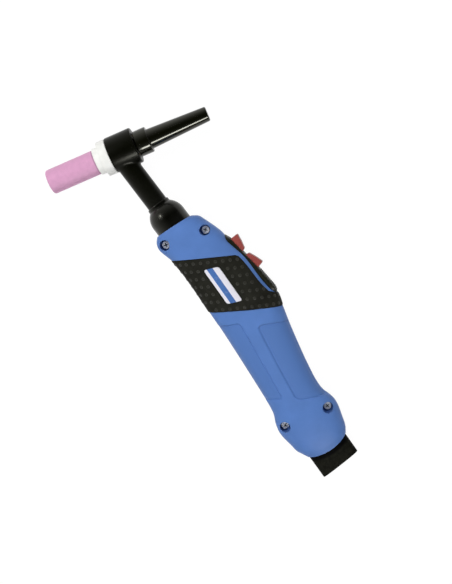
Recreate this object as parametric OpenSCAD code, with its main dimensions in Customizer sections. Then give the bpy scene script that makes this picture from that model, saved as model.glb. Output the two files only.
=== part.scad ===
// Gas-cooled TIG welding torch with a two-shell grip handle and a pair of key switches.
// Origin: where the electrode axis meets the neck axis. +X runs back along the handle,
// +Y to the side of the keys and the back cap, +Z square to the plane of the torch.
// Angles are in degrees and lengths in millimetres.

/* [Torch head] */
// Lean of the electrode axis towards the handle
head_lean = 9.8; // [0:0.2:20]
// Radius of the moulded head barrel
head_r = 13.7; // [13:0.1:16]
// Reach of the head barrel above the neck axis
head_up = 14.5; // [13:0.5:20]
// Reach of the head barrel below the neck axis
head_down = 6; // [5:0.5:9]
// Radius of the brass core inside the barrel
core_r = 9.6; // [9:0.1:11]
// Radius of the thread that takes the back cap
cap_thread_r = 4.9; // [4:0.1:5.5]

/* [Back cap] */
// Radius of the collar
collar_r = 9.9; // [8.5:0.1:12]
// Length of the collar
collar_l = 10.2; // [6:0.2:16]
// Length of the tapered cap behind the collar
cap_l = 47.2; // [20:0.5:90]
// Radius of the cap next to the collar
cap_r = 7.6; // [6:0.1:8.4]
// Radius of the cap at its closed end
cap_tip_r = 5.55; // [4.5:0.05:7]
// Daylight between the barrel and the collar when the cap is screwed home
cap_gap = 0.8; // [0.4:0.1:1.5]
// Section radius of the sealing ring
seal_r = 1; // [0.7:0.1:1.1]

/* [Nozzle] */
// Radius of the ceramic nozzle
nozzle_r = 9.3; // [8.6:0.1:12]
// Length of nozzle in view below the gasket
nozzle_l = 38.8; // [32:0.2:60]
// Radius of the gas bore at the mouth
nozzle_bore_r = 6.35; // [6.3:0.05:7.5]
// Length of the nozzle's neck inside the gasket
nozzle_neck_l = 8.1; // [5:0.1:8.1]
// Radius of the gasket's wide ring
gasket_r = 13.4; // [11.5:0.1:14]
// Height of the gasket's wide ring
gasket_l = 6.9; // [5:0.1:10]
// Radius of the gasket's step
gasket_step_r = 10.3; // [9.4:0.1:11.4]
// Height of the gasket's step
gasket_step_l = 4.7; // [3:0.1:7]

/* [Electrode clamping] */
// Radius of the tungsten electrode that the collet takes
electrode_r = 1.2; // [0.5:0.1:1.4]
// Outside radius of the collet
collet_r = 2; // [1.8:0.1:2.4]
// Length of the collet
collet_l = 48; // [40:0.5:48]
// Radius of the thread that takes the nozzle
nozzle_thread_r = 6.2; // [5.5:0.05:6.2]
// Radius of the collet body below its threads
diffuser_r = 4.2; // [3.4:0.1:5]
// Gas holes round the collet body
gas_holes = 4; // [2:1:8]

/* [Neck] */
// Rise of the neck towards the handle
neck_rise = 4.5; // [0:0.5:8]
// Radius of the insulated neck
neck_r = 8.05; // [7.2:0.05:8.6]
// Length of the insulated neck from the electrode axis
neck_l = 84; // [80:0.5:100]
// Outside radius of the copper tube
tube_r = 4; // [3.4:0.1:4.4]
// Wall of the copper tube
tube_wall = 1.2; // [0.6:0.1:1.6]
// Radius of the thread at the tail
tail_thread_r = 4.76; // [4.5:0.01:5.5]
// Length of the thread at the tail
tail_thread_l = 10; // [6:0.5:12]
// Radius of the rubber boot
boot_r = 13.9; // [12.5:0.1:14.2]
// Distance from the centre of the boot's dome to the handle's front
boot_back = 7.5; // [6.5:0.1:8.5]

/* [Handle] */
// Length of the neck inside the handle
neck_in = 15.2; // [14:0.1:17]
// Length of the handle, less the swell of its rear rim
handle_l = 199.2; // [190:0.2:215]
// Half thickness just behind the front rim
nose_waist = 16; // [15.7:0.1:16.5]
// Half thickness at the swell behind the nose
nose_w = 17.2; // [16:0.1:18]
// Half thickness at the grip
grip_w = 16; // [15.5:0.1:17.5]
// Half thickness at the waist
waist_w = 15.2; // [14.5:0.1:16.5]
// Half thickness at the rear swelling
tail_w = 17.3; // [16:0.1:18.5]
// Wall of the shells
wall = 3; // [2.6:0.1:3.4]
// How far the rear rim swells backwards at mid height
rim_bow = 3.4; // [0:0.2:4.4]
// Depth of the shallow panels behind the grip
panel_depth = 0.8; // [0.3:0.1:1.2]

/* [Grip and plate] */
// Depth of the recess for the rubber inlay
inlay_depth = 1.6; // [1:0.1:1.8]
// How far the inlay stands proud of the shell
inlay_proud = 0.5; // [0.2:0.05:0.6]
// Slant of the inlay's front and rear edges
inlay_slant = 63; // [55:1:75]
// Distance from the handle's front to the inlay's front edge, on the neck line
inlay_front = 25.6; // [24:0.2:30]
// Distance from the handle's front to the inlay's rear edge, on the neck line
inlay_rear = 71.6; // [70:0.2:76]
// Length of the plate
plate_l = 30.4; // [20:0.2:33]
// Height of the plate
plate_h = 10.8; // [7:0.2:13]
// Thickness of the plate
plate_t = 1.2; // [0.8:0.1:1.4]

/* [Screws] */
// Radius of a screw's shank
screw_r = 1.5; // [1.2:0.1:1.6]
// Radius of a screw's head
screw_head_r = 3.1; // [2.4:0.1:3.2]
// Radius of a counterbore
counterbore_r = 4; // [3.6:0.1:4.2]
// Length of a screw under its head
screw_l = 11; // [9:0.5:12]

/* [Switch module] */
// Length of the housing in view
module_l = 57.8; // [54:0.2:60]
// Half width of the housing
module_w = 8.5; // [8:0.1:9]
// Depth of the tub that holds the switches
tub_depth = 15.5; // [15:0.5:17]
// Half width of a key
key_w = 6.2; // [5.5:0.1:6.4]
// Length of the front key
front_key_l = 12.7; // [12:0.1:13.2]
// Length of the rear key
rear_key_l = 13; // [12:0.1:13.2]
// Height of the front key at its high end
front_key_h = 5.8; // [4:0.1:7]
// Height of the rear key at its high end
rear_key_h = 4.9; // [3.5:0.1:7]
// Height of a key at its low end
key_low_h = 2.1; // [1.4:0.1:2.8]
// Radius of a key's pin
pin_r = 0.8; // [0.5:0.05:1]

/* [Cable sleeve] */
// Height of the oval sleeve
sleeve_h = 32.2; // [29:0.2:32.6]
// Thickness of the oval sleeve
sleeve_t = 22; // [19:0.5:22.4]
// Wall of the sleeve
sleeve_wall = 2.2; // [1.4:0.1:2.8]
// How far the sleeve stands out behind the handle
sleeve_out = 19.2; // [10:0.2:60]
// Rise of the sleeve towards its end
sleeve_rise = 2.7; // [0:0.1:4]
// Slant of the sleeve's cut end from its upper to its lower edge
sleeve_cut = 4; // [0:0.5:8]
// Slant of the cut end from one flat side to the other
sleeve_skew = 8; // [0:0.5:12]
// How far each flat side draws in towards the end
sleeve_pinch = 3; // [0:0.5:3]

/* [Hidden] */
$fn = 64;

// Fits between pieces, all radial or one-sided
thread_fit = 0.05;   // between a screwed piece and its thread
press_fit = 0.02;    // between pieces that stay together
loose_fit = 0.3;     // between a soft or moulded piece and its seat
cut_over = 1;        // how far a cutting solid runs past a face

// Head, measured along the electrode axis, positive towards the back cap
spigot_l = 10.1;                               // back cap's threaded spigot
collar_s = head_up + cap_gap;                  // underside of the collar
cap_s = collar_s + collar_l;                   // foot of the taper, at the collar's top
spigot_s = collar_s - spigot_l;                // foot of the spigot, which presses the collet
cap_bore_r = collet_r - 0.1;                   // electrode space inside the back cap
shoulder_l = 3;                                // collet body's shoulder under the core
shoulder_r = nozzle_thread_r + 1.3;
core_thread_r = nozzle_thread_r - 1.2;         // thread between the collet body and the core
gasket_s = -head_down;                         // seat of the gasket
gasket_step_s = gasket_s - gasket_l;
nozzle_s = gasket_step_s - gasket_step_l;      // rear face of the nozzle in view
mouth_s = nozzle_s - nozzle_l;
nozzle_neck_r = max(shoulder_r, nozzle_thread_r) + 0.4;
nozzle_thread_l = 11;                          // thread on the collet body below its shoulder
thread_end_s = gasket_s - shoulder_l - nozzle_thread_l;
collet_foot = spigot_s - collet_l;
diffuser_foot = collet_foot - 3;               // tip of the collet body
seat_r = collet_r - 0.15;                      // seat that squeezes the collet's tapered tip
seat_in = 0.6;                                 // depth of the tip inside its seat
core_waist_s = 2;                              // between the core's two threads
core_waist_l = 2;
tip_l = 5;                                     // tapered tip of the collet body
gas_hole_r = 0.8;
gas_hole_s = thread_end_s - 5;
slit_w = 0.4;                                  // slits that let the collet close
slit_l = 12;
seal_s = head_up - seal_r - 0.1;
seal_ring_r = cap_thread_r + loose_fit + seal_r;
seal_room_r = seal_ring_r + seal_r + 1;
barrel_edge = 0.9;                             // rounding of the turned and moulded edges
collar_edge = 0.6;
cap_edge = 0.8;
gasket_edge = 0.5;
nozzle_edge = 1.3;

// Neck, measured along its own axis
socket_from = core_r - 1;
socket_to = 20;
socket_r = tube_r + 2.2;
tube_from = core_r + 1;
tail_hex_l = 7;
tail_hex_r = tube_r + 2.6;
tail_s = neck_l + 0.5;
handle_x = neck_l - neck_in;                   // front of the handle
boot_centre = handle_x - boot_back;
boot_lip_r = neck_r + 0.85;
boot_lip_from = boot_centre - boot_r + 0.8;
boot_lip_l = 1.2;
boot_dome = 138;                               // angle at which the dome meets the lip
boot_end = handle_x + 2;
clamp_from = boot_end + loose_fit;
clamp_to = neck_l - loose_fit;
clamp_r = nose_waist - wall;

function neck_y(x) = x * tan(neck_rise);

// Handle outline. Each knot is a distance from one end of the handle and a height over the
// neck line, or a half thickness. Knots of the rear half are measured from the rear end.
handle_end = handle_x + handle_l;
rim_lip = 1;                                   // edge of a shell round an opening
nose_rim = boot_r + loose_fit + rim_lip;
sleeve_mid = 12.7;                             // height of the sleeve where it leaves the rim
tail_rim_h = sleeve_h / 2 + loose_fit + rim_lip;
tail_rim_w = sleeve_t / 2 + loose_fit + rim_lip;
front_ridge = [[0, neck_y(handle_x) + nose_rim], [2.6, 24.6], [6, 26.6], [21, 32.7], [30, 34.4],
    [47.3, 39.7], [69.8, 41.3], [83.3, 43.6], [93.8, 41.5]];
rear_ridge = [[88, 38.1], [58, 33.6], [39.3, 32.5], [24.3, 36.3], [9.3, 33.8], [3.3, 32.2],
    [0, sleeve_mid + tail_rim_h]];
front_belly = [[0, neck_y(handle_x) - nose_rim], [2.8, -12.2], [6.2, -13.6], [10, -13.6],
    [22, -9.9], [40, -8], [69.5, -7.4]];
rear_belly = [[111, -7], [58, -7.4], [41.6, -8.2], [33, -11.2], [25, -12.3], [13, -10],
    [8, -9.1], [3.5, -6.9], [0, sleeve_mid - tail_rim_h]];
front_half = [[0, nose_rim], [4, nose_waist], [26, nose_w], [41, grip_w + 0.1], [60, grip_w],
    [82, grip_w]];
rear_half = [[93, 16], [63, waist_w], [40, 15.7], [25, tail_w], [12, 16.6], [4, 14.6],
    [0, tail_rim_w]];
ridge = knots(front_ridge, rear_ridge);
belly = knots(front_belly, rear_belly);
half = knots(front_half, rear_half);
squareness = 2.6;                              // 2 is an ellipse, more is squarer

// Inlay, panels, plate
inlay_rows = 8;
inlay_top = [48, 54];                          // angle of the inlay's upper edge, front and rear
inlay_fit = 0.15;                              // groove between the inlay and its recess
inlay_bed = 0.2;                               // glue under the inlay
groove_slack = 2;                              // degrees that a millimetre spans on the flank
inlay_corner = 43;
tongue_from = 77.8;                            // where the inlay climbs over the hump
tongue_to = 85;
band_x = (handle_x + handle_end) / 2;          // raised band behind the grip
band_top = 16.6;
band_bottom = 8.5;
upper_panel = [handle_x + 85.8, handle_end - 47.7, 66];   // front edge, rear edge and slant
lower_panel = [handle_x + 82.7, handle_end - 49.6, 69];
plate_at = [handle_x + 56.2, 13.5];            // middle of the plate
plate_sink = 0.6;                              // depth of the plate's pocket
plate_round = 2;
plate_turn = 2.4;
plate_slant = inlay_slant + 6;
plate_z = grip_w - plate_sink;

// Screws: place of each one, seat of the heads, and the bosses round them
screw_at = [[handle_x + 14.8, 24], [handle_x + 8.3, -7.1],
    [handle_end - 24.8, 29.5], [handle_end - 29.2, -5.2]];
screw_seat = 3;
screw_head_t = 2.4;
cross_l = 3;                                   // cross recess of a screw
cross_w = 0.7;
cross_depth = 1.2;
boss_r = counterbore_r + 0.9;
insert_r = screw_r + 0.9;
insert_l = 7;
insert_boss_r = insert_r + 1.2;

// Switch module, in its own frame: p along its top and q up from its top
module_at = [handle_x + 44.4, 39.2];
module_tilt = 11.6;
module_x = handle_x + 25.6;                    // tip of the housing
module_skin = 5;                               // depth of the moulded cover
module_nose = 6.3;                             // lengths over which the cover narrows to its ends
module_heel = 8;
module_blunt = 0.3;
module_fit = 0.3;
key_gap = 0.35;                                // round a key in its pocket
bridge_front = -1.5;                           // low end of the front key
bridge_rear = 2.1;                             // low end of the rear key
key_skirt = 3;                                 // depth of a key below the housing's top
pin_back = 1.5;                                // from a key's low end to its pin
pin_drop = 1.8;
pin_l = 15.8;
press_reach = 8.5;                             // from the pin to the post that presses the switch
post_w = 1.2;
micro = [12.4, 6, 6.4];                        // length, height and width of a microswitch
micro_lift = 1.1;                              // of a microswitch off its board
micro_top = micro_lift + micro[1] - tub_depth;
plunger_h = 1.3;                               // of a plunger over its microswitch
post_l = -key_skirt - micro_top - plunger_h - loose_fit;
plunger_in = 1.5;                              // and inside it
plunger_room = 3;
plunger_r = 1.1;
board_t = 1.6;
key_room = 0.5;                                // ahead of a key's high end
tub_wall = 1.2;
tub_w = key_w + key_gap + tub_wall;
tub_top = -4;
tub_ends = [bridge_front - front_key_l - key_room - tub_wall,
    bridge_rear + rear_key_l + key_room + tub_wall];
tub_l = tub_ends[1] - tub_ends[0];
terminal_r = 0.5;
terminal_l = tub_depth + board_t + 1 + micro_top - micro[1];
terminals = [-4.6, 0, 4.6];
plug = [6, 5, 10];
plug_wall = 1;

// Sleeve
sleeve_in = 13;                                // length held inside the handle
bead_l = 3;
bead_h = 1.2;
ring_t = 1.5;
ring_l = 8;
ample = 40;                                    // size of a solid that cuts off all that lies beyond

// ---------- curves and lofts ----------

// joins front knots with rear knots and measures both from the electrode axis
function knots(front, rear) = concat(
    [for (k = front) [handle_x + k[0], k[1]]],
    [for (k = rear) [handle_end - k[0], k[1]]]);

function span_of(k, x, i = 0) = (i >= len(k) - 2 || x < k[i + 1][0]) ? i : span_of(k, x, i + 1);

function slope_at(k, i) = let (a = max(i - 1, 0), b = min(i + 1, len(k) - 1))
    (k[b][1] - k[a][1]) / (k[b][0] - k[a][0]);

// smooth cubic through the knots
function curve(k, x) = let (
        i = span_of(k, x), h = k[i + 1][0] - k[i][0], t = min(max((x - k[i][0]) / h, 0), 1),
        u = 1 - t)
    k[i][1] * u * u * (1 + 2 * t) + k[i + 1][1] * t * t * (3 - 2 * t)
    + h * t * u * (slope_at(k, i) * u - slope_at(k, i + 1) * t);

function smooth(t) = let (c = min(max(t, 0), 1)) c * c * (3 - 2 * c);
function soft(t) = sign(t) * pow(abs(t), 2 / squareness);
function hard(t) = sign(t) * pow(abs(t), squareness / 2);

function mid(x) = (curve(ridge, x) + curve(belly, x)) / 2;
function rise(x) = (curve(ridge, x) - curve(belly, x)) / 2;

// the rear rim swells backwards at mid height
function bowed(x, y) = let (t = (x - handle_end) / 14 + 1, v = (y - sleeve_mid) / tail_rim_h)
    x + (t > 0 ? rim_bow * min(t, 1) * min(t, 1) * max(1 - v * v, -0.2) : 0);

// point of the handle's surface at angle a, -90 at the belly and 90 at the ridge, moved inwards
function skin_point(x, a, inwards) = let (
        y = mid(x) + (rise(x) - inwards) * soft(sin(a)),
        z = (curve(half, x) - inwards) * soft(cos(a)))
    [bowed(x, y), y, z];

// angle of the handle's surface at height y
function angle_at(x, y) = let (f = (y - mid(x)) / rise(x)) asin(hard(min(max(f, -1), 1)));

// point of the cavity, which narrows to the boot's hole in front and to the sleeve's behind
function cavity_point(x, a) = let (
        p = skin_point(x, a, wall),
        r = boot_r + loose_fit,
        front = [x, neck_y(x) + r * sin(a), r * cos(a)],
        y = sleeve_mid + (sleeve_h / 2 + loose_fit) * soft(sin(a)),
        rear = [bowed(x, y), y, (sleeve_t / 2 + loose_fit) * soft(cos(a))],
        kf = smooth((x - handle_x - 4) / 8), kr = smooth((handle_end - x - 4) / 8))
    kf < 1 ? front + (p - front) * kf : rear + (p - rear) * kr;

function steps(from, to, n) = [for (i = [0:n]) from + (to - from) * i / n];

// solid through closed rings of equal length; an end is a fan, or a strip across a folded ring
module loft(rings, strip = false) {
    n = len(rings);
    m = len(rings[0]);
    ends = [for (r = [rings[0], rings[n - 1]]) [for (k = [0:2]) [for (p = r) p[k]] * [for (p = r) 1] / m]];
    sides = [for (i = [0:n - 2], j = [0:m - 1]) let (a = i * m + j, b = i * m + (j + 1) % m)
        each [[a, b, a + m], [b, b + m, a + m]]];
    fans = [for (j = [0:m - 1]) let (k = (j + 1) % m)
        each [[k, j, n * m], [(n - 1) * m + j, (n - 1) * m + k, n * m + 1]]];
    strips = [for (j = [0:m / 2 - 2], e = [0, (n - 1) * m]) let (a = e + j, b = e + j + 1,
            c = e + m - 2 - j, d = e + m - 1 - j)
        each e == 0 ? [[b, a, d], [b, d, c]] : [[a, b, d], [b, c, d]]];
    polyhedron(strip ? [for (r = rings) each r] : concat([for (r = rings) each r], ends),
        concat(sides, strip ? strips : fans));
}

// stations along the handle, closer at its ends
stations = concat(
    steps(handle_x, handle_x + 6, 4), steps(handle_x + 9, handle_x + 93, 14),
    steps(handle_x + 100, handle_end - 44, 8), steps(handle_end - 38, handle_end - 8, 6),
    steps(handle_end - 5, handle_end, 3));
arc_steps = 14;
over_parting = 5;                              // degrees by which a cut runs past the parting plane

// half of the handle's outer form, on the +Z side
module half_form() {
    loft([for (x = stations) [for (a = steps(-90, 90, arc_steps)) skin_point(x, a, 0)]]);
}

// hollow of that half, open at both ends and across the parting plane
module half_hollow() {
    xs = concat([handle_x - cut_over], [for (x = stations) if (x > handle_x + 1 && x < handle_end - 1) x],
        [handle_end + 1, handle_end + rim_bow + cut_over]);
    loft([for (x = xs) [for (a = steps(-90 - over_parting, 90 + over_parting, arc_steps))
        cavity_point(x, a)]]);
}

// slab that follows the handle's surface between two depths, with an outline in each column
module skin_slab(columns, from, to, rows) {
    loft([for (c = columns) concat(
        [for (a = steps(c[1], c[2], rows)) skin_point(c[0], a, from)],
        [for (a = steps(c[2], c[1], rows)) skin_point(c[0], a, to)])], strip = true);
}

// columns between two slanted edges, from a low angle to a high one
function slanted(front_x, rear_x, slant, low, high, xs, grow) = [for (x = xs) let (
        lo = max(low, angle_at(x, (x - rear_x - grow) * tan(slant))),
        hi = min(high, angle_at(x, (x - front_x + grow) * tan(slant))))
    if (hi - lo > 4) [x, lo, hi]];

// corners of a polygon replaced by parabolic fillets; on a revolved profile those on the axis stay
function rounded(pts, r, n = 6, revolved = false) = [for (i = [0:len(pts) - 1]) let (
        p = pts[i], q = pts[(i + len(pts) - 1) % len(pts)], s = pts[(i + 1) % len(pts)],
        a = p + (q - p) * min(r / norm(q - p), 0.5), b = p + (s - p) * min(r / norm(s - p), 0.5))
    each revolved && p[0] == 0 ? [p]
        : [for (t = steps(0, 1, n)) a * (1 - t) * (1 - t) + p * 2 * t * (1 - t) + b * t * t]];

// solid turned from a profile with filleted corners
module turned(pts, r, n = 4) {
    rotate_extrude() polygon(rounded(pts, r, n, true));
}

// outline of the sleeve, moved inwards
module sleeve_oval(inwards) {
    n = 48;
    polygon([for (i = [0:n - 1]) let (a = 360 * i / n)
        [(sleeve_t / 2 - inwards) * soft(cos(a)), (sleeve_h / 2 - inwards) * soft(sin(a))]]);
}

// ---------- frames of the assemblies ----------

// local Z runs along the electrode axis towards the back cap
module on_head() {
    rotate([0, 0, -head_lean]) rotate([-90, 0, 0]) children();
}

// local Z runs along the neck towards the handle
module on_neck() {
    rotate([0, 0, neck_rise]) rotate([0, 90, 0]) children();
}

// local X runs along the top of the switch module, local Y out of the handle
module on_module() {
    translate([module_at[0], module_at[1], 0]) rotate([0, 0, module_tilt]) children();
}

// local Z runs along the sleeve to its end
module on_sleeve() {
    translate([handle_end, sleeve_mid, 0]) rotate([0, 0, sleeve_rise]) rotate([0, 90, 0]) children();
}

// cylinder from one height to another
module rod(r, from, to) {
    translate([0, 0, min(from, to)]) cylinder(r = r, h = abs(to - from));
}

module at_screws() {
    for (p = screw_at) translate([p[0], p[1], 0]) children();
}

// ---------- head ----------

module torch_body() color("#1f201d") difference() {
    union() {
        on_head() turned([[0, -head_down], [head_r, -head_down], [head_r, head_up], [0, head_up]],
            barrel_edge);
        on_neck() rod(neck_r, core_r, neck_l);
    }
    on_head() rod(core_r + press_fit, -head_down - cut_over, head_up + cut_over);
    on_neck() rod(socket_r + press_fit, 0, socket_to + press_fit);
    on_neck() rod(tube_r + press_fit, 0, neck_l + cut_over);
}

module head_core() color("#b5893f") difference() {
    union() {
        on_head() rod(core_r, -head_down, head_up);
        on_neck() rod(socket_r, socket_from, socket_to);
    }
    on_head() rod(core_thread_r + thread_fit, -head_down - cut_over, core_waist_s);
    on_head() rod(collet_r + 1, 0, head_up);
    on_head() rod(cap_thread_r + thread_fit, core_waist_s + core_waist_l, head_up + cut_over);
    on_head() rod(seal_room_r, seal_s - seal_r - loose_fit, head_up + cut_over);
    on_neck() rod(tube_r + press_fit, tube_from, socket_to + cut_over);
    on_neck() rod(tube_r - tube_wall, 0, socket_to);
}

module back_cap() color("#20211e") on_head() difference() {
    union() {
        turned([[0, collar_s], [collar_r, collar_s], [collar_r, cap_s], [0, cap_s]], collar_edge);
        turned([[0, cap_s - 1], [cap_r, cap_s - 1], [cap_tip_r, cap_s + cap_l], [0, cap_s + cap_l]],
            cap_edge);
        rod(cap_thread_r, spigot_s, collar_s + 1);
    }
    rod(cap_bore_r, spigot_s - cut_over, cap_s + cap_l - 6);
}

module cap_seal() color("#141414") on_head() translate([0, 0, seal_s])
    rotate_extrude() translate([seal_ring_r, 0]) circle(r = seal_r);

module collet_body() color("#c08a4a") on_head() difference() {
    union() {
        rod(core_thread_r, core_waist_s - 1, gasket_s);
        rod(shoulder_r, gasket_s, gasket_s - shoulder_l);
        rod(nozzle_thread_r, gasket_s - shoulder_l, thread_end_s);
        rod(diffuser_r, thread_end_s, diffuser_foot + tip_l);
        translate([0, 0, diffuser_foot]) cylinder(r1 = diffuser_r - 1.4, r2 = diffuser_r, h = tip_l);
    }
    rod(collet_r + thread_fit, core_waist_s, collet_foot + seat_in);
    rod(seat_r, core_waist_s, diffuser_foot - cut_over);
    for (i = [0:gas_holes - 1]) rotate([0, 0, 360 * (i + 0.5) / gas_holes])
        translate([0, 0, gas_hole_s]) rotate([0, 90, 0]) rod(gas_hole_r, 0, diffuser_r + cut_over);
}

module collet() color("#c57f50") on_head() difference() {
    union() {
        rod(collet_r, collet_foot + 2, spigot_s);
        translate([0, 0, collet_foot]) cylinder(r1 = collet_r - 0.4, r2 = collet_r, h = 2);
    }
    rod(electrode_r, collet_foot - cut_over, spigot_s + cut_over);
    for (a = [0, 90]) rotate([0, 0, a])
        translate([-collet_r - cut_over, -slit_w / 2, collet_foot - cut_over])
            cube([2 * collet_r + 2 * cut_over, slit_w, slit_l + cut_over]);
}

module nozzle_gasket() color("#f2f2ee") on_head() difference() {
    union() {
        turned([[0, gasket_s], [gasket_r, gasket_s], [gasket_r, gasket_step_s], [0, gasket_step_s]],
            gasket_edge);
        rod(gasket_step_r, gasket_step_s + 1, nozzle_s);
    }
    rod(nozzle_neck_r + thread_fit, gasket_s + cut_over, nozzle_s - cut_over);
}

module gas_nozzle() color("#d9a3c0") on_head() difference() {
    union() {
        turned([[0, mouth_s], [nozzle_r, mouth_s], [nozzle_r, nozzle_s], [0, nozzle_s]], nozzle_edge, 6);
        rod(nozzle_neck_r, nozzle_s - 1, nozzle_s + nozzle_neck_l);
    }
    rod(nozzle_thread_r + thread_fit, mouth_s, nozzle_s + nozzle_neck_l + cut_over);
    rod(nozzle_bore_r, mouth_s - cut_over, thread_end_s - 1);
}

// ---------- neck ----------

module neck_tube() color("#b56d42") on_neck() difference() {
    rod(tube_r, tube_from + loose_fit, tail_s);
    rod(tube_r - tube_wall, tube_from - cut_over, tail_s + cut_over);
}

module tail_fitting() color("#b5893f") on_neck() difference() {
    union() {
        translate([0, 0, tail_s]) cylinder(r = tail_hex_r, h = tail_hex_l, $fn = 6);
        rod(tail_thread_r, tail_s + tail_hex_l, tail_s + tail_hex_l + tail_thread_l);
    }
    rod(tube_r - tube_wall, tail_s - cut_over, tail_s + tail_hex_l + tail_thread_l + cut_over);
}

module neck_boot() color("#1a1b18") on_neck()
    rotate_extrude() polygon(concat([[neck_r + press_fit, boot_lip_from], [boot_lip_r, boot_lip_from],
            [boot_lip_r + loose_fit, boot_lip_from + boot_lip_l]],
        [for (a = steps(boot_dome, 90, 12)) [boot_r * sin(a), boot_centre + boot_r * cos(a)]],
        [[boot_r, boot_end], [neck_r + press_fit, boot_end]]));

module neck_clamp() color("#2a2b2a") difference() {
    on_neck() rod(clamp_r, clamp_from, clamp_to);
    on_neck() rod(neck_r + press_fit, clamp_from - cut_over, clamp_to + cut_over);
    at_screws() rod(boss_r + loose_fit, -clamp_r - cut_over, clamp_r + cut_over);
}

// ---------- handle ----------

inlay_xs = steps(handle_x + 22, handle_x + 95, 24);

// columns of the inlay, which end at the parting plane or a little past it
function inlay_columns(grow, past) = [
    for (c = slanted(handle_x + inlay_front, handle_x + inlay_rear, inlay_slant, -90 - past, 90,
        inlay_xs, grow))
    let (d = c[0] - handle_x, t = smooth((d - tongue_from + grow) / (tongue_to - tongue_from)),
        k = min(max((d - inlay_corner) / (tongue_from - inlay_corner), 0), 1),
        edge = inlay_top[0] + (inlay_top[1] - inlay_top[0]) * k,
        top = edge + grow * groove_slack + (90 + past - edge) * t)
    [c[0], c[1], max(min(c[2], top, 90 + past), c[1] + 1)]];

module inlay() {
    difference() {
        skin_slab(inlay_columns(0, 0), -inlay_proud, inlay_depth, inlay_rows);
        module_form(module_fit);
    }
}

module inlay_recess() {
    skin_slab(inlay_columns(inlay_fit, over_parting), -cut_over * 2, inlay_depth + inlay_bed,
        inlay_rows);
}

// shallow panels over and under the raised band behind the grip
module panels() {
    upper = slanted(upper_panel[0], upper_panel[1], upper_panel[2], angle_at(band_x, band_top),
        90 + over_parting, steps(upper_panel[0], upper_panel[1] + 20, 20), 0);
    lower = slanted(lower_panel[0], lower_panel[1], lower_panel[2], -90 - over_parting,
        angle_at(band_x, band_bottom), steps(lower_panel[0] - 4, lower_panel[1] + 4, 20), 0);
    skin_slab(upper, -cut_over * 2, panel_depth, 5);
    skin_slab(lower, -cut_over * 2, panel_depth, 5);
}

// the half on the +Z side, before the screw holes
module half_shell(bosses) {
    difference() {
        half_form();
        difference() {
            half_hollow();
            at_screws() rod(bosses, -cut_over - 2, tail_w + cut_over);
        }
        inlay_recess();
        panels();
        module_form(module_fit);
        tub_form(module_fit, board_t);
    }
}

module handle_shell_left() color("#567bba") difference() {
    half_shell(boss_r);
    at_screws() rod(screw_r + 0.2, -cut_over, screw_seat + cut_over);
    at_screws() rod(counterbore_r, screw_seat, tail_w + cut_over);
}

module handle_shell_right() color("#567bba") difference() {
    mirror([0, 0, 1]) half_shell(insert_boss_r);
    at_screws() rod(insert_r + press_fit, -insert_l - 2, cut_over);
}

module grip_inlay_left() color("#232421") difference() {
    inlay();
    translate([0, 0, plate_z]) linear_extrude(height = plate_t + cut_over)
        polygon(plate_outline(inlay_fit));
}

module grip_inlay_right() color("#232421") mirror([0, 0, 1]) inlay();

function turn(p, a) = [p[0] * cos(a) - p[1] * sin(a), p[0] * sin(a) + p[1] * cos(a)];

function plate_outline(grow) = let (
        l = plate_l / 2 + grow, h = plate_h / 2 + grow, s = h / tan(plate_slant))
    [for (p = rounded([[-l - s, -h], [l - s, -h], [l + s, h], [-l + s, h]], plate_round))
        plate_at + turn(p, plate_turn)];

module label_plate() color("#eef0f2") translate([0, 0, plate_z])
    linear_extrude(height = plate_t) polygon(plate_outline(0));

module shell_screws() color("#c8cace") at_screws() difference() {
    union() {
        rod(screw_head_r, screw_seat, screw_seat + screw_head_t);
        rod(screw_r, screw_seat, screw_seat - screw_l);
    }
    for (a = [0, 90]) rotate([0, 0, a])
        translate([-cross_l / 2, -cross_w / 2, screw_seat + screw_head_t - cross_depth])
            cube([cross_l, cross_w, cross_depth + cut_over]);
}

module shell_inserts() color("#c09a4a") at_screws() difference() {
    rod(insert_r, -1, -1 - insert_l);
    rod(screw_r + press_fit, 0, -2 - insert_l);
}

// ---------- switch module ----------

// ridge line of the housing
module_knots = [[0, 34.2], [2, 35.1], [4.5, 36.2], [19.4, 39.2], [33.8, 42.2], [44.3, 43.8], [51.8, 44.9],
    [55.5, 44.4], [module_l, 43]];

function blunt(t) = let (u = 1 - min(max(t, 0), 1)) sqrt(1 - u * u);
function flat_sided(t) = sign(t) * sqrt(abs(t));
function module_half(d) = module_w * blunt((d + module_blunt) / module_nose)
    * blunt((module_l + module_blunt - d) / module_heel);

// boat-shaped cover, grown all round by a clearance
module module_form(grow) {
    ds = concat([-grow], steps(0.6, module_nose, 4), steps(module_nose + 4, module_l - 12, 9),
        steps(module_l - 9, module_l - 0.6, 5), [module_l + grow]);
    loft([for (d = ds) let (top = curve(module_knots, d) + grow, h = module_skin / 2 + grow,
            w = module_half(min(max(d, 0), module_l)) + grow)
        [for (a = steps(0, 345, 23))
            [module_x + d, top - h + h * flat_sided(sin(a)), w * flat_sided(cos(a))]]]);
}

// tub under the cover, grown by a clearance and deepened
module tub_form(grow, deeper) {
    on_module() translate([tub_ends[0] - grow, -tub_depth - deeper - grow, -tub_w - grow])
        cube([tub_l + 2 * grow, tub_depth + deeper + tub_top + grow, 2 * (tub_w + grow)]);
}

module pocket(from, to) {
    translate([min(from, to), -tub_depth - cut_over, -key_w - key_gap])
        cube([abs(to - from), tub_depth + cut_over + front_key_h, 2 * (key_w + key_gap)]);
}

module switch_housing() color("#242522") difference() {
    union() {
        module_form(0);
        tub_form(0, 0);
    }
    on_module() {
        pocket(bridge_front + key_gap, bridge_front - front_key_l - key_room);
        pocket(bridge_rear - key_gap, bridge_rear + rear_key_l + key_room);
        key_pin_bores(pin_r + press_fit);
    }
}

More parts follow.
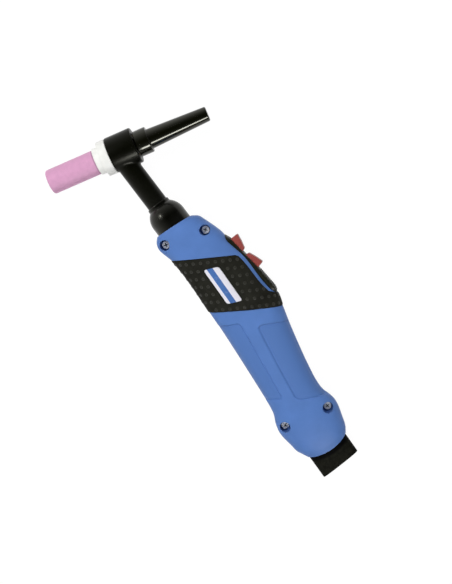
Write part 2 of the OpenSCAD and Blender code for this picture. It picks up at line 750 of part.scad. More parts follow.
// wedge-shaped key that points along +p from its low end, with the post that presses the switch
module key(l, high) {
    difference() {
        union() {
            translate([0, 0, -key_w]) linear_extrude(height = 2 * key_w) polygon(rounded([[0, -key_skirt],
                [l - 0.6, -key_skirt], [l, 0], [l - 0.6, high], [0.6, key_low_h], [0, 0]], 0.5, 3));
            translate([pin_back + press_reach - post_w, -key_skirt - post_l, -post_w])
                cube([2 * post_w, post_l + 1, 2 * post_w]);
        }
        translate([pin_back, -pin_drop, -key_w - cut_over])
            cylinder(r = pin_r + thread_fit, h = 2 * (key_w + cut_over));
    }
}

module key_front() color("#963f3f") on_module() translate([bridge_front, 0, 0]) mirror([1, 0, 0])
    key(front_key_l, front_key_h);

module key_rear() color("#963f3f") on_module() translate([bridge_rear, 0, 0]) key(rear_key_l, rear_key_h);

module key_pin_bores(r) {
    for (p = [bridge_front - pin_back, bridge_rear + pin_back])
        translate([p, -pin_drop, -pin_l / 2]) cylinder(r = r, h = pin_l);
}

module key_pins() color("#b9bbbe") on_module() key_pin_bores(pin_r);

// middle of each microswitch; local Z points down from its underside or its top
micro_front = bridge_front - 0.5 - front_key_l / 2;
micro_rear = bridge_rear + 0.5 + rear_key_l / 2;

module at_terminals(at) {
    for (d = terminals) translate([at + d, micro_top - micro[1], 0]) rotate([90, 0, 0]) children();
}

module at_plunger(at) {
    p = at < 0 ? bridge_front - pin_back - press_reach : bridge_rear + pin_back + press_reach;
    translate([p, micro_top, 0]) rotate([90, 0, 0]) children();
}

module microswitch(at) {
    difference() {
        union() {
            translate([at - micro[0] / 2, micro_top - micro[1], -micro[2] / 2]) cube(micro);
            at_terminals(at) rod(terminal_r, 0, terminal_l);
        }
        at_plunger(at) rod(plunger_r + thread_fit, -cut_over, plunger_room);
    }
}

module microswitch_front() color("#3a3b3d") on_module() microswitch(micro_front);

module microswitch_rear() color("#3a3b3d") on_module() microswitch(micro_rear);

module plunger_front() color("#d0443a") on_module() at_plunger(micro_front)
    rod(plunger_r, -plunger_h, plunger_in);

module plunger_rear() color("#d0443a") on_module() at_plunger(micro_rear)
    rod(plunger_r, -plunger_h, plunger_in);

module switch_board() color("#2c6a45") on_module() difference() {
    translate([tub_ends[0], -tub_depth - board_t, -tub_w])
        cube([tub_l, board_t, 2 * tub_w]);
    for (m = [micro_front, micro_rear]) at_terminals(m)
        rod(terminal_r + thread_fit, 0, terminal_l + cut_over);
}

module lead_plug() color("#e4e2d8") on_module()
    translate([(micro_front + micro_rear - plug[0]) / 2, -tub_depth - board_t - plug[1], -plug[2] / 2])
        difference() {
            cube(plug);
            translate([plug[0] / 2, plug_wall, plug_wall])
                cube([plug[0], plug[1] - 2 * plug_wall, plug[2] - 2 * plug_wall]);
        }

// ---------- cable sleeve ----------

// solid of the sleeve's section from one place to another, moved inwards
module sleeve_tube(inwards, from, to) {
    n = 48;
    loft([for (s = concat(from, steps(0, sleeve_out, 6), to)) let (
            t = sleeve_t / 2 - sleeve_pinch * smooth(s / sleeve_out) - inwards)
        [for (a = [0:360 / n:359]) [t * soft(sin(a)), (sleeve_h / 2 - inwards) * soft(cos(a)), s]]]);
}

module cable_sleeve() color("#2f302d") on_sleeve() difference() {
    union() {
        sleeve_tube(0, -sleeve_in, 2 * sleeve_out);
        translate([0, 0, -sleeve_in]) linear_extrude(height = bead_l)
            sleeve_oval(-bead_h);
    }
    sleeve_tube(sleeve_wall, -sleeve_in - cut_over, 3 * sleeve_out);
    translate([0, 0, sleeve_out]) rotate([-sleeve_cut, -sleeve_skew, 0]) translate([-ample, -ample, 0])
        cube([2 * ample, 2 * ample, ample]);
}

module sleeve_ring() color("#8d9094") on_sleeve() translate([0, 0, -sleeve_in]) difference() {
    linear_extrude(height = ring_l) sleeve_oval(sleeve_wall + press_fit);
    translate([0, 0, -cut_over]) linear_extrude(height = ring_l + 2 * cut_over)
        sleeve_oval(sleeve_wall + ring_t);
}

torch_body();
head_core();
neck_tube();
tail_fitting();
neck_boot();
neck_clamp();
back_cap();
cap_seal();
collet_body();
collet();
nozzle_gasket();
gas_nozzle();
handle_shell_left();
handle_shell_right();
grip_inlay_left();
grip_inlay_right();
label_plate();
shell_screws();
shell_inserts();
switch_housing();
key_front();
key_rear();
key_pins();
microswitch_front();
microswitch_rear();
plunger_front();
plunger_rear();
switch_board();
lead_plug();
cable_sleeve();
sleeve_ring();
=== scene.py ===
"""Dressed model of a gas-cooled TIG torch: finishes, fine shapes and a plain studio.

Lengths are written in millimetres, as on the part's drawing, and become metres in the mesh.
X runs back along the handle, Y to the side of the keys, Z square to the torch's plane.
"""

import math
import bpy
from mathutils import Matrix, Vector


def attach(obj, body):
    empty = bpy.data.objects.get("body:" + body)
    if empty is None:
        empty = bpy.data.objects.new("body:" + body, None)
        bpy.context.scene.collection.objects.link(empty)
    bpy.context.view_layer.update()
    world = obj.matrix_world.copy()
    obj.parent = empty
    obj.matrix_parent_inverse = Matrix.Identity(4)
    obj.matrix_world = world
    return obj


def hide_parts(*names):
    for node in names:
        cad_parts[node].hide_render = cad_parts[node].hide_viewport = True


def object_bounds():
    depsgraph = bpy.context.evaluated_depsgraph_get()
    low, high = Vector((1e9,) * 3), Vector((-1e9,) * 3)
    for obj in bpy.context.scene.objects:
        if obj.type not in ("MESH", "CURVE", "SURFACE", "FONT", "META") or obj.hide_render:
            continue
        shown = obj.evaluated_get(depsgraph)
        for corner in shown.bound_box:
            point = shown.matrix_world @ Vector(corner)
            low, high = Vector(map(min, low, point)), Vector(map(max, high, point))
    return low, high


bl_info = {
    "name": "TIG torch",
    "version": (1, 0, 0),
    "blender": (4, 5, 0),
    "location": "View3D > Sidebar > Torch",
    "description": "Builds the outer pieces of a TIG torch over its working solids",
    "category": "Object",
}

import bmesh
import bpy
import numpy as np
from bpy.props import FloatProperty, FloatVectorProperty, PointerProperty
from mathutils import Matrix, Vector

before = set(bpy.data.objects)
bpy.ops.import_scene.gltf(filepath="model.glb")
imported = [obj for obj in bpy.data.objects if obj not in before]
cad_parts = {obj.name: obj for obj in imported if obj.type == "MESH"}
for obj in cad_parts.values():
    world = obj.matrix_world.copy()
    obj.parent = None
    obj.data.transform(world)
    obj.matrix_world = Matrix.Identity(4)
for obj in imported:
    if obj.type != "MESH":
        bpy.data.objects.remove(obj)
CAD_BOX = [[float(v) for v in corner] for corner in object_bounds()]

MM = 0.001
TINY, TINIER = 1e-6, 1e-7  # distances that count as none

# ---------------------------------------------------------------- drawing sizes

SOFT_FIT = 0.3  # between a soft or moulded piece and its seat

HEAD_LEAN, NECK_RISE = math.radians(9.8), math.radians(4.5)
HEAD_R, HEAD_UP, HEAD_DOWN, CORE_R = 13.7, 14.5, 6.0, 9.6
NECK_R, NECK_L, TUBE_R = 8.05, 84.0, 4.0
SOCKET_R, SOCKET_L = 6.2, 20.0

CAP_GAP, COLLAR_R, COLLAR_L = 0.8, 9.9, 10.2
CAP_R, CAP_TIP_R, CAP_L = 7.6, 5.55, 47.2
SPIGOT_R, SPIGOT_L = 4.9, 10.1
ELECTRODE_ROOM_R, CAP_CROWN = 1.9, 6.0

GASKET_R, GASKET_L, GASKET_STEP_R, GASKET_STEP_L, GASKET_BORE_R = 13.4, 6.9, 10.3, 4.7, 7.95
NOZZLE_R, NOZZLE_L, NOZZLE_BORE_R = 9.35, 38.8, 6.35
NOZZLE_NECK_R, NOZZLE_NECK_L, NOZZLE_THREAD_R, NOZZLE_THREAD_END = 7.9, 8.1, 6.25, -21.0

HANDLE_X, HANDLE_END = 68.8, 268.0
SQUARE = 2.6  # squareness of the handle's section: 2 is an ellipse
WALL, RIM_LIP = 3.0, 1.0
RIM_BOW, RIM_BOW_L = 3.4, 14.0
BOOT_R, BOOT_CENTRE, BOOT_END = 13.9, HANDLE_X - 7.5, HANDLE_X + 2.0

SLEEVE_MID = 12.7
SLEEVE_H, SLEEVE_T, SLEEVE_WALL = 32.2, 22.0, 2.2
SLEEVE_OUT, SLEEVE_IN, SLEEVE_BEAD, SLEEVE_PINCH = 19.2, 13.0, 1.2, 3.0
SLEEVE_RISE, SLEEVE_CUT, SLEEVE_SKEW = (math.radians(v) for v in (2.7, 4, 8))

SCREWS = [
    (HANDLE_X + 14.8, 24.0),
    (HANDLE_X + 8.3, -7.1),
    (HANDLE_END - 24.8, 29.5),
    (HANDLE_END - 29.2, -5.2),
]
SCREW_SEAT, SCREW_HEAD, SCREW_R, SCREW_L = 3.0, 2.4, 1.5, 8.0
BOSSES = {"left": 4.9, "right": 3.6}
SHANK_R, BORE_R, INSERT_R, INSERT_TOP = 1.7, 4.0, 2.42, 9.0
OUTSIDE = 19.0  # a height beyond the handle's skin

INLAY_SLANT = math.radians(63)
LEAN = 1 / math.tan(INLAY_SLANT)
INLAY_FRONT, INLAY_REAR = HANDLE_X + 25.6, HANDLE_X + 71.6
INLAY_GROOVE, INLAY_BED, INLAY_BACK = 0.15, 1.8, 1.6
PLATE_AT, PLATE_TURN = (HANDLE_X + 56.2, 13.5), math.radians(2.4)
PLATE_LEAN, PLATE_CORNER = 1 / math.tan(INLAY_SLANT + math.radians(6)), 2.0
PLATE_FOOT, PLATE_TOP = 15.4, 16.6
STRIPE_LOW, STRIPE_HIGH = -3.0, 1.1

MODULE_AT, MODULE_TILT = (HANDLE_X + 44.4, 39.2), math.radians(11.6)
MODULE_X, MODULE_L, MODULE_W, MODULE_SKIN = HANDLE_X + 25.6, 57.8, 8.5, 5.0
MODULE_NOSE, MODULE_HEEL, MODULE_BLUNT = 6.3, 8.0, 0.3
TUB_DEPTH, TUB_TOP, TUB_WALL = 15.5, -4.0, 1.2
BOARD_T = 1.6
KEY_W, KEY_GAP, KEY_SKIRT, KEY_LOW, KEY_ROOM = 6.2, 0.35, 3.0, 2.1, 0.5
REST_GAP, REST_END = 2.6, 2.2  # free of dots behind the rear key, and before the heel
BRIDGE_FRONT, BRIDGE_REAR = -1.5, 2.1
FRONT_KEY, REAR_KEY = (12.7, 5.8), (13.0, 4.9)  # length and height
PIN_BACK, PIN_DROP, PIN_R, PIN_L = 1.5, 1.8, 0.8, 15.8
PRESS_REACH, POST_W, PLUNGER_H = 8.5, 1.2, 1.3
MICRO_FOOT, MICRO_H = 1.1, 6.0
MICRO_TOP = MICRO_FOOT + MICRO_H - TUB_DEPTH

NOSE_RIM = BOOT_R + SOFT_FIT + RIM_LIP
TAIL_RIM_H = SLEEVE_H / 2 + SOFT_FIT + RIM_LIP
TAIL_RIM_W = SLEEVE_T / 2 + SOFT_FIT + RIM_LIP


def neck_y(x):
    """Height of the neck's axis at x."""
    return x * math.tan(NECK_RISE)


def knots(front, rear):
    """One knot table from distances behind the handle's front and ahead of its end."""
    return np.array(
        [(HANDLE_X + d, v) for d, v in front] + [(HANDLE_END - d, v) for d, v in rear]
    )


RIDGE = knots(
    [(0, neck_y(HANDLE_X) + NOSE_RIM), (2.6, 24.6), (6, 26.6), (21, 32.7), (30, 34.4),
     (47.3, 39.7), (69.8, 41.3), (83.3, 43.6), (93.8, 41.5)],
    [(88, 38.1), (58, 33.6), (39.3, 32.5), (24.3, 36.3), (9.3, 33.8), (3.3, 32.2),
     (0, SLEEVE_MID + TAIL_RIM_H)],
)
BELLY = knots(
    [(0, neck_y(HANDLE_X) - NOSE_RIM), (2.8, -12.2), (6.2, -13.6), (10, -13.6), (22, -9.9),
     (40, -8), (69.5, -7.4)],
    [(111, -7), (58, -7.4), (41.6, -8.2), (33, -11.2), (25, -12.3), (13, -10), (8, -9.1),
     (3.5, -6.9), (0, SLEEVE_MID - TAIL_RIM_H)],
)
HALF = knots(
    [(0, NOSE_RIM), (4, 16), (26, 17.2), (41, 16.1), (60, 16), (82, 16)],
    [(93, 16), (63, 15.2), (40, 15.7), (25, 17.3), (12, 16.6), (4, 14.6), (0, TAIL_RIM_W)],
)
MODULE_RIDGE = np.array(
    [(0, 34.2), (2, 35.1), (4.5, 36.2), (19.4, 39.2), (33.8, 42.2), (44.3, 43.8),
     (51.8, 44.9), (55.5, 44.4), (MODULE_L, 43)]
)

# local Z runs along the electrode's axis towards the back cap
ON_HEAD = Matrix.Rotation(-HEAD_LEAN, 4, "Z") @ Matrix.Rotation(-math.pi / 2, 4, "X")
# local Z runs along the neck towards the handle
ON_NECK = Matrix.Rotation(NECK_RISE, 4, "Z") @ Matrix.Rotation(math.pi / 2, 4, "Y")
# local X runs along the top of the switch module, local Y out of the handle
ON_MODULE = Matrix.Translation((*MODULE_AT, 0)) @ Matrix.Rotation(MODULE_TILT, 4, "Z")
# local Z runs along the sleeve to its cut end
ON_SLEEVE = (
    Matrix.Translation((HANDLE_END, SLEEVE_MID, 0))
    @ Matrix.Rotation(SLEEVE_RISE, 4, "Z")
    @ Matrix.Rotation(math.pi / 2, 4, "Y")
)


def curve(table, x):
    """Smooth cubic through a knot table."""
    k = np.asarray(table, float)
    n = len(k)
    x = np.asarray(x, float)
    lo, hi = np.maximum(np.arange(n) - 1, 0), np.minimum(np.arange(n) + 1, n - 1)
    slope = (k[hi, 1] - k[lo, 1]) / (k[hi, 0] - k[lo, 0])
    i = np.clip(np.searchsorted(k[:, 0], x, side="right") - 1, 0, n - 2)
    h = k[i + 1, 0] - k[i, 0]
    t = np.clip((x - k[i, 0]) / h, 0, 1)
    u = 1 - t
    return (
        k[i, 1] * u * u * (1 + 2 * t)
        + k[i + 1, 1] * t * t * (3 - 2 * t)
        + h * t * u * (slope[i] * u - slope[i + 1] * t)
    )


def smooth(t):
    """0 to 1 with level ends."""
    c = np.clip(t, 0, 1)
    return c * c * (3 - 2 * c)


def soft(t):
    """Squares off a sine or cosine."""
    return np.sign(t) * np.abs(t) ** (2 / SQUARE)


def sine(a):
    """Squared-off sine of an angle in degrees."""
    return soft(np.sin(np.radians(a)))


def mid(x):
    """Middle height of the handle."""
    return (curve(RIDGE, x) + curve(BELLY, x)) / 2


def rise(x):
    """Half height of the handle."""
    return (curve(RIDGE, x) - curve(BELLY, x)) / 2


def stack(*columns):
    """Points from columns of any one shape."""
    return np.stack(np.broadcast_arrays(*columns), -1)


def bowed(x, y):
    """x, carried back where the rear rim swells."""
    t = (x - HANDLE_END) / RIM_BOW_L + 1
    v = (y - SLEEVE_MID) / TAIL_RIM_H
    swell = RIM_BOW * np.minimum(t, 1) ** 2 * np.maximum(1 - v * v, -0.2)
    return x + np.where(t > 0, swell, 0)


def skin(x, a, inwards=0.0):
    """Points of the handle's surface at x and angle a in degrees, moved inwards."""
    y = mid(x) + (rise(x) - inwards) * sine(a)
    z = (curve(HALF, x) - inwards) * soft(np.cos(np.radians(a)))
    return stack(bowed(x, y), y, z)


def angle_at(x, y):
    """Angle of the handle's surface at height y, in degrees."""
    f = np.clip((y - mid(x)) / rise(x), -1, 1)
    return np.degrees(np.arcsin(np.sign(f) * np.abs(f) ** (SQUARE / 2)))


def cavity(x, a):
    """Points of the handle's hollow, which narrows to the boot and to the sleeve."""
    p = skin(x, a, WALL)
    r = np.radians(a)
    mouth = BOOT_R + SOFT_FIT
    front = stack(x, neck_y(x) + mouth * np.sin(r), mouth * np.cos(r))
    y = SLEEVE_MID + (SLEEVE_H / 2 + SOFT_FIT) * soft(np.sin(r))
    z = (SLEEVE_T / 2 + SOFT_FIT) * soft(np.cos(r))
    rear = stack(bowed(x, y), y, z)
    kf = smooth((x - HANDLE_X - 4) / 8)[..., None]
    kr = smooth((HANDLE_END - x - 4) / 8)[..., None]
    return np.where(kf < 1, front + (p - front) * kf, rear + (p - rear) * kr)


# ---------------------------------------------------------------- settings


def a_size(label, description, default, low, high):
    """A size in millimetres."""
    return FloatProperty(name=label, description=description, default=default, min=low, max=high)


def a_share(label, description, default, low=0.0):
    """A part of one."""
    return FloatProperty(name=label, description=description, default=default, min=low, max=1,
                         subtype="FACTOR")


def a_power(label, description, default):
    """The power of a lamp in watts."""
    return FloatProperty(name=label, description=description, default=default, min=0, max=50,
                         subtype="POWER")


def a_colour(label, description, default):
    """The colour of a finish."""
    return FloatVectorProperty(name=label, description=description, default=default, min=0,
                               max=1, size=3, subtype="COLOR")


class TorchSizes(bpy.types.PropertyGroup):
    """Sizes of the fine shapes, in millimetres"""

    panel_depth: a_size("Panel depth", "Depth of the shallow panels behind the grip", 0.7, 0, 1.2)
    panel_edge: a_size("Panel edge", "Width of the slope round a panel", 1.1, 0.3, 3)
    panel_line: a_size("Panel line", "Depth of the fine line round a panel", 0.3, 0, 0.6)
    panel_corner: a_size("Panel corner", "Rounding of a panel's corners", 3.5, 0.5, 8)
    panel_fade: a_size("Panel fade", "Degrees over which a panel runs out at its top and bottom",
                       14, 1, 30)
    seam: a_size("Seam", "Depth of the line where the two shells meet", 0.22, 0, 0.5)
    inlay_proud: a_size("Inlay height", "How far the rubber stands out of the shell", 0.5, 0.1, 0.8)
    inlay_edge: a_size("Inlay edge", "Rounding of the rubber's edge", 0.9, 0.3, 1.5)
    inlay_corner: a_size("Inlay corner", "Rounding of the rubber's upper front corner", 2.2, 0.3, 5)
    dot_radius: a_size("Dot radius", "Radius of a raised dot on the grip", 1.3, 0.5, 2)
    dot_height: a_size("Dot height", "Height of a raised dot", 0.32, 0.2, 0.8)
    dot_pitch: a_size("Dot pitch", "Distance between slanted lines of dots", 6.65, 4, 12)
    dot_rows: a_size("Dot rows", "Distance between rows of dots along the surface", 4.9, 3, 8)
    rest_dot: a_size("Rest dot", "Radius of a raised dot on the thumb rest", 0.5, 0.2, 0.8)
    rest_pitch: a_size("Rest pitch", "Distance between dots on the thumb rest", 1.6, 1, 3)
    plate_length: a_size("Plate length", "Length of the white plate", 30.4, 20, 33)
    plate_height: a_size("Plate height", "Height of the white plate", 10.8, 7, 13)
    plate_bevel: a_size("Plate bevel", "Bevel of the plate's edge", 0.3, 0.05, 0.5)
    screw_head: a_size("Screw head", "Radius of a screw's head", 3.1, 2, 3.2)
    screw_cross: a_size("Cross recess", "Length of a screw's cross recess", 3.2, 2, 4)
    key_edge: a_size("Key edge", "Rounding of a key's edges", 0.7, 0.2, 1.2)
    neck_fillet: a_size("Neck fillet", "Rounding where the neck leaves the head", 2.4, 0.5, 5)
    boot_seam: a_size("Boot ring", "Height of the ring at the boot's small end", 0.05, 0, 0.8)
    barrel_lip: a_size("Barrel lip", "Height of the moulding over the brass core", 0.35, 0.05, 0.6)


class TorchFinishes(bpy.types.PropertyGroup):
    """Colours of the pieces and strength of the studio's lights"""

    shell: a_colour("Shell", "Moulded handle shells", (0.097, 0.204, 0.510))
    panel_tone: a_share("Panel tone", "Tone of the panels against the band between them",
                        0.93, 0.5)
    rubber: a_colour("Grip rubber", "Inlays of the grip", (0.0150, 0.0150, 0.0110))
    moulding: a_colour("Black mouldings", "Head, boot, cap and switch housing",
                       (0.0048, 0.0053, 0.0014))
    key: a_colour("Keys", "The two rocker keys", (0.315, 0.062, 0.052))
    ceramic: a_colour("Ceramic", "Fired alumina of the nozzle", (0.685, 0.350, 0.547))
    gasket: a_colour("Gasket", "White insulating gasket", (0.885, 0.89, 0.855))
    plate: a_colour("Plate", "White plate on the grip", (0.78, 0.77, 0.84))
    stripe: a_colour("Stripe", "Stripe printed along the plate", (0.060, 0.155, 0.43))
    sleeve: a_colour("Sleeve", "Cable sleeve behind the handle", (0.0072, 0.0074, 0.0044))
    key_lamp: a_power("Key lamp", "Round lamp over the nozzle", 1.3)
    sky_lamp: a_power("Sky lamp", "Wide lamp over the head, seen in no gloss", 1.7)
    side_lamp: a_power("Side lamp", "Lamp square to the back cap", 1.25)
    line_lamp: a_power("Line lamp", "Lamp seen only in gloss, as a line along the back cap", 5.2)
    top_lamp: a_power("Top lamp", "Lamp beside the camera, which reaches into the counterbores",
                      1.1)
    ambient: a_share("Ambient", "Level of the even light from all round", 0.33)
    overhead: a_share("Ceiling", "How bright the ceiling looks in the gloss", 0.02)
    floor_white: a_share("Floor white", "How much of the floor is lit evenly for the eye", 0.93)


# ---------------------------------------------------------------- mesh helpers


def add_object(name, verts, faces):
    """Object at the origin from millimetre vertices."""
    mesh = bpy.data.meshes.new(name)
    mesh.from_pydata((np.asarray(verts, float) * MM).tolist(), [], faces)
    mesh.validate()
    obj = bpy.data.objects.new(name, mesh)
    bpy.context.scene.collection.objects.link(obj)
    return obj


def discard(obj):
    """Removes an object and its mesh."""
    mesh = obj.data
    bpy.data.objects.remove(obj)
    bpy.data.meshes.remove(mesh)


def settle(obj, merge=TINY):
    """Merges doubles and points the faces outwards."""
    bm = bmesh.new()
    bm.from_mesh(obj.data)
    bmesh.ops.remove_doubles(bm, verts=bm.verts, dist=merge)
    bmesh.ops.dissolve_degenerate(bm, edges=bm.edges, dist=merge)
    bmesh.ops.recalc_face_normals(bm, faces=bm.faces)
    bm.to_mesh(obj.data)
    bm.free()
    return obj


def loft(name, rings):
    """Closed object through rings of equal length, with a fan on each end ring."""
    rings = np.asarray(rings, float)
    n, m, _ = rings.shape
    verts = list(rings.reshape(-1, 3)) + [rings[0].mean(0), rings[-1].mean(0)]
    faces = []
    for i in range(n - 1):
        for j in range(m):
            k = (j + 1) % m
            faces.append((i * m + j, i * m + k, (i + 1) * m + k, (i + 1) * m + j))
    for j in range(m):
        k = (j + 1) % m
        faces.append((k, j, n * m))
        faces.append(((n - 1) * m + j, (n - 1) * m + k, n * m + 1))
    return settle(add_object(name, verts, faces))


def rounding(before, corner, after, reach, steps):
    """Points of a quadratic bend that starts and ends at a reach from the corner."""
    ends = [
        corner + (end - corner) * min(reach / np.linalg.norm(end - corner), 0.5)
        for end in (before, after)
    ]
    bends = [
        ends[0] * (1 - t) ** 2 + corner * 2 * t * (1 - t) + ends[1] * t * t
        for t in np.linspace(0, 1, steps)
    ]
    return ends, bends


def fillet(points, steps):
    """Profile of (radius, height, rounding) corners with its corners rounded."""
    flatter = 0.12  # share of the straight chord in a rounding
    out = []
    for i, (r, s, reach) in enumerate(points):
        corner = np.array((r, s), float)
        if reach <= 0 or i in (0, len(points) - 1):
            out.append(corner)
            continue
        before, after = (np.array(points[i + d][:2], float) for d in (-1, 1))
        (a, b), bends = rounding(before, corner, after, reach, steps + 1)
        for t, bend in zip(np.linspace(0, 1, steps + 1), bends):
            out.append(bend + (a * (1 - t) + b * t - bend) * flatter)
    return out


def circle(r, around):
    """Points of a circle."""
    angles = np.linspace(0, 2 * math.pi, around, endpoint=False)
    return [(r * math.cos(a), r * math.sin(a)) for a in angles]


def lathe(name, profile, place, around=160):
    """Closed solid turned from a profile that starts and ends on the axis, or from a loop."""
    verts, rows = [], []
    for r, s in profile:
        ring = [(0, 0)] if r < TINY else circle(r, around)
        rows.append(range(len(verts), len(verts) + len(ring)))
        verts += [place @ Vector((x, y, s)) for x, y in ring]
    faces = []
    pairs = list(zip(rows, rows[1:])) + ([(rows[-1], rows[0])] if len(rows[0]) > 1 else [])
    for a, b in pairs:
        for j in range(around):
            k = (j + 1) % around
            if len(a) == 1:
                faces.append((a[0], b[j], b[k]))
            elif len(b) == 1:
                faces.append((a[j], b[0], a[k]))
            else:
                faces.append((a[j], b[j], b[k], a[k]))
    return settle(add_object(name, verts, faces))


def prism(name, outline, low, high, place=Matrix()):
    """Closed solid from an outline in its own XY plane."""
    n = len(outline)
    verts = [place @ Vector((x, y, z)) for z in (low, high) for x, y in outline]
    faces = [tuple(range(n)), tuple(range(n, 2 * n))]
    faces += [(i, (i + 1) % n, n + (i + 1) % n, n + i) for i in range(n)]
    return settle(add_object(name, verts, faces))


def rod(name, r, low, high, place=Matrix(), around=64):
    """Closed cylinder used as a cutter."""
    return prism(name, circle(r, around), low, high, place)


def block(name, low, high, place=Matrix()):
    """Closed box between two corners."""
    (x0, y0, z0), (x1, y1, z1) = low, high
    return prism(name, [(x0, y0), (x1, y0), (x1, y1), (x0, y1)], z0, z1, place)


def bake(obj):
    """Applies an object's modifiers."""
    graph = bpy.context.evaluated_depsgraph_get()
    graph.update()
    mesh = bpy.data.meshes.new_from_object(obj.evaluated_get(graph))
    old = obj.data
    obj.modifiers.clear()
    obj.data = mesh
    bpy.data.meshes.remove(old)
    mesh.name = obj.name
    return obj


def combine(obj, tools, operation):
    """Cuts tools from obj, or joins them to it, and deletes them."""
    for tool in tools:
        mod = obj.modifiers.new("cut", "BOOLEAN")
        mod.solver = "MANIFOLD"
        mod.operation = operation
        mod.object = tool
    bake(obj)
    for tool in tools:
        discard(tool)
    if not obj.data.polygons:
        raise RuntimeError(f"nothing is left of {obj.name}")
    return obj


def cut(obj, *tools):
    """Cuts tools from obj."""
    return combine(obj, tools, "DIFFERENCE")


def join(obj, *tools):
    """Joins tools to obj."""
    return combine(obj, tools, "UNION")


def bevel(obj, width, segments, angle):
    """Rounds the edges sharper than an angle."""
    mod = obj.modifiers.new("bevel", "BEVEL")
    mod.width = width * MM
    mod.segments = segments
    mod.limit_method = "ANGLE"
    mod.angle_limit = math.radians(angle)
    return mod


def mirrored(obj):
    """Turns an object over to the -Z side."""
    obj.data.transform(Matrix.Scale(-1, 4, (0, 0, 1)))
    return settle(obj, TINIER)


def keep_on_mesh(obj, name, values):
    """Writes one value for each vertex."""
    field = obj.data.attributes.new(name, "FLOAT", "POINT")
    field.data.foreach_set("value", np.asarray(values, np.float32))


def vertices_of(obj):
    """Vertices in millimetres."""
    at = np.empty(len(obj.data.vertices) * 3)
    obj.data.vertices.foreach_get("co", at)
    return at.reshape(-1, 3) / MM


def finish(obj, paint, body, slot, *nodes, angle=32):
    """Shades a piece, paints it, and sets it on its body in place of its solids."""
    obj.data.shade_smooth()
    obj.data.set_sharp_from_angle(angle=math.radians(angle))
    obj.data.materials.clear()
    obj.data.materials.append(palette()[paint])
    for face in obj.data.polygons:
        face.material_index = 0
    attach(obj, body)
    if nodes:
        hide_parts(*nodes)


# ---------------------------------------------------------------- materials


def node(tree, kind, sockets=None, **settings):
    """Adds a node; a socket takes a value, or the output that feeds it."""
    new = tree.nodes.new(kind)
    for name, value in settings.items():
        setattr(new, name, value)
    for name, value in (sockets or {}).items():
        if isinstance(value, bpy.types.NodeSocket):
            tree.links.new(value, new.inputs[name])
        else:
            new.inputs[name].default_value = value
    return new


def maths(tree, operation, a, b):
    """Result of a sum on two numbers or outputs."""
    return node(tree, "ShaderNodeMath", {0: a, 1: b}, operation=operation).outputs[0]


def spread(tree, value, source, target, **settings):
    """Result of carrying a value from one range to another."""
    ranges = dict(zip(("From Min", "From Max", "To Min", "To Max"), (*source, *target)))
    return node(tree, "ShaderNodeMapRange", {"Value": value, **ranges}, **settings).outputs[0]


def blend(tree, share, a, b, kind="RGBA"):
    """Result of going from a to b by a share."""
    sockets = {"Factor": share, "A": a, "B": b}
    return node(tree, "ShaderNodeMix", sockets, data_type=kind).outputs["Result"]


def object_place(tree):
    """Output of the place on the object."""
    return node(tree, "ShaderNodeTexCoord").outputs["Object"]


def split(tree, vector):
    """Outputs of a vector's parts."""
    return node(tree, "ShaderNodeSeparateXYZ", {"Vector": vector}).outputs


def new_material(name):
    """Material with its tree and its shader."""
    mat = bpy.data.materials.new(name)
    mat.use_nodes = True
    return mat, mat.node_tree, mat.node_tree.nodes["Principled BSDF"]


GRAIN_DEPTH = 0.12


def moulded(name, tint, rough=0.4, uneven=0.06, mottle=0.08, mottle_size=9.0, grain=0.25,
            grain_size=0.5, wear=0.12, metal=0.0, cells=False, dust=0.0, specular=0.5,
            sheen=(1, 1, 1)):
    """Plastic, rubber, ceramic or metal with mottled colour, uneven gloss, grain and worn edges.

    mottle_size and grain_size are in millimetres; cells gives a leathery grain.
    """
    mat, tree, bsdf = new_material(name)
    bsdf.inputs["Metallic"].default_value = metal
    bsdf.inputs["Specular IOR Level"].default_value = specular
    bsdf.inputs["Specular Tint"].default_value = (*sheen, 1)
    place = object_place(tree)

    def noise(across, detail, roughness=0.55):
        sockets = {"Vector": place, "Scale": 1 / (across * MM), "Detail": detail,
                   "Roughness": roughness}
        return node(tree, "ShaderNodeTexNoise", sockets).outputs["Fac"]

    tone = node(tree, "ShaderNodeValToRGB", {"Fac": noise(mottle_size, 4)})
    low, high = tone.color_ramp.elements
    low.position, high.position = 0.3, 0.7
    low.color = (*[c * (1 - mottle) for c in tint], 1)
    high.color = (*[min(c * (1 + mottle) + dust, 1) for c in tint], 1)

    edges = node(tree, "ShaderNodeNewGeometry").outputs["Pointiness"]
    worn = spread(tree, edges, (0.53, 0.62), (0, wear))
    scuffed = (*[c + (0.8 - c) * 0.35 for c in tint], 1)
    tree.links.new(blend(tree, worn, tone.outputs["Color"], scuffed), bsdf.inputs["Base Color"])

    gloss = (max(rough - uneven, 0.02), min(rough + uneven, 1))
    tree.links.new(spread(tree, noise(mottle_size * 0.6, 5, 0.7), (0.3, 0.7), gloss),
                   bsdf.inputs["Roughness"])

    if cells:
        sockets = {"Vector": place, "Scale": 1 / (grain_size * MM), "Randomness": 0.9}
        height = node(tree, "ShaderNodeTexVoronoi", sockets).outputs["Distance"]
    else:
        height = noise(grain_size, 3)
    bump = node(tree, "ShaderNodeBump",
                {"Strength": grain, "Distance": GRAIN_DEPTH * MM, "Height": height})
    tree.links.new(bump.outputs["Normal"], bsdf.inputs["Normal"])
    return mat


def over(mat, paint):
    """Lays another paint over a finish's colour; paint takes the tree and the colour below."""
    tree = mat.node_tree
    base = tree.nodes["Principled BSDF"].inputs["Base Color"]
    tree.links.new(paint(tree, base.links[0].from_socket), base)


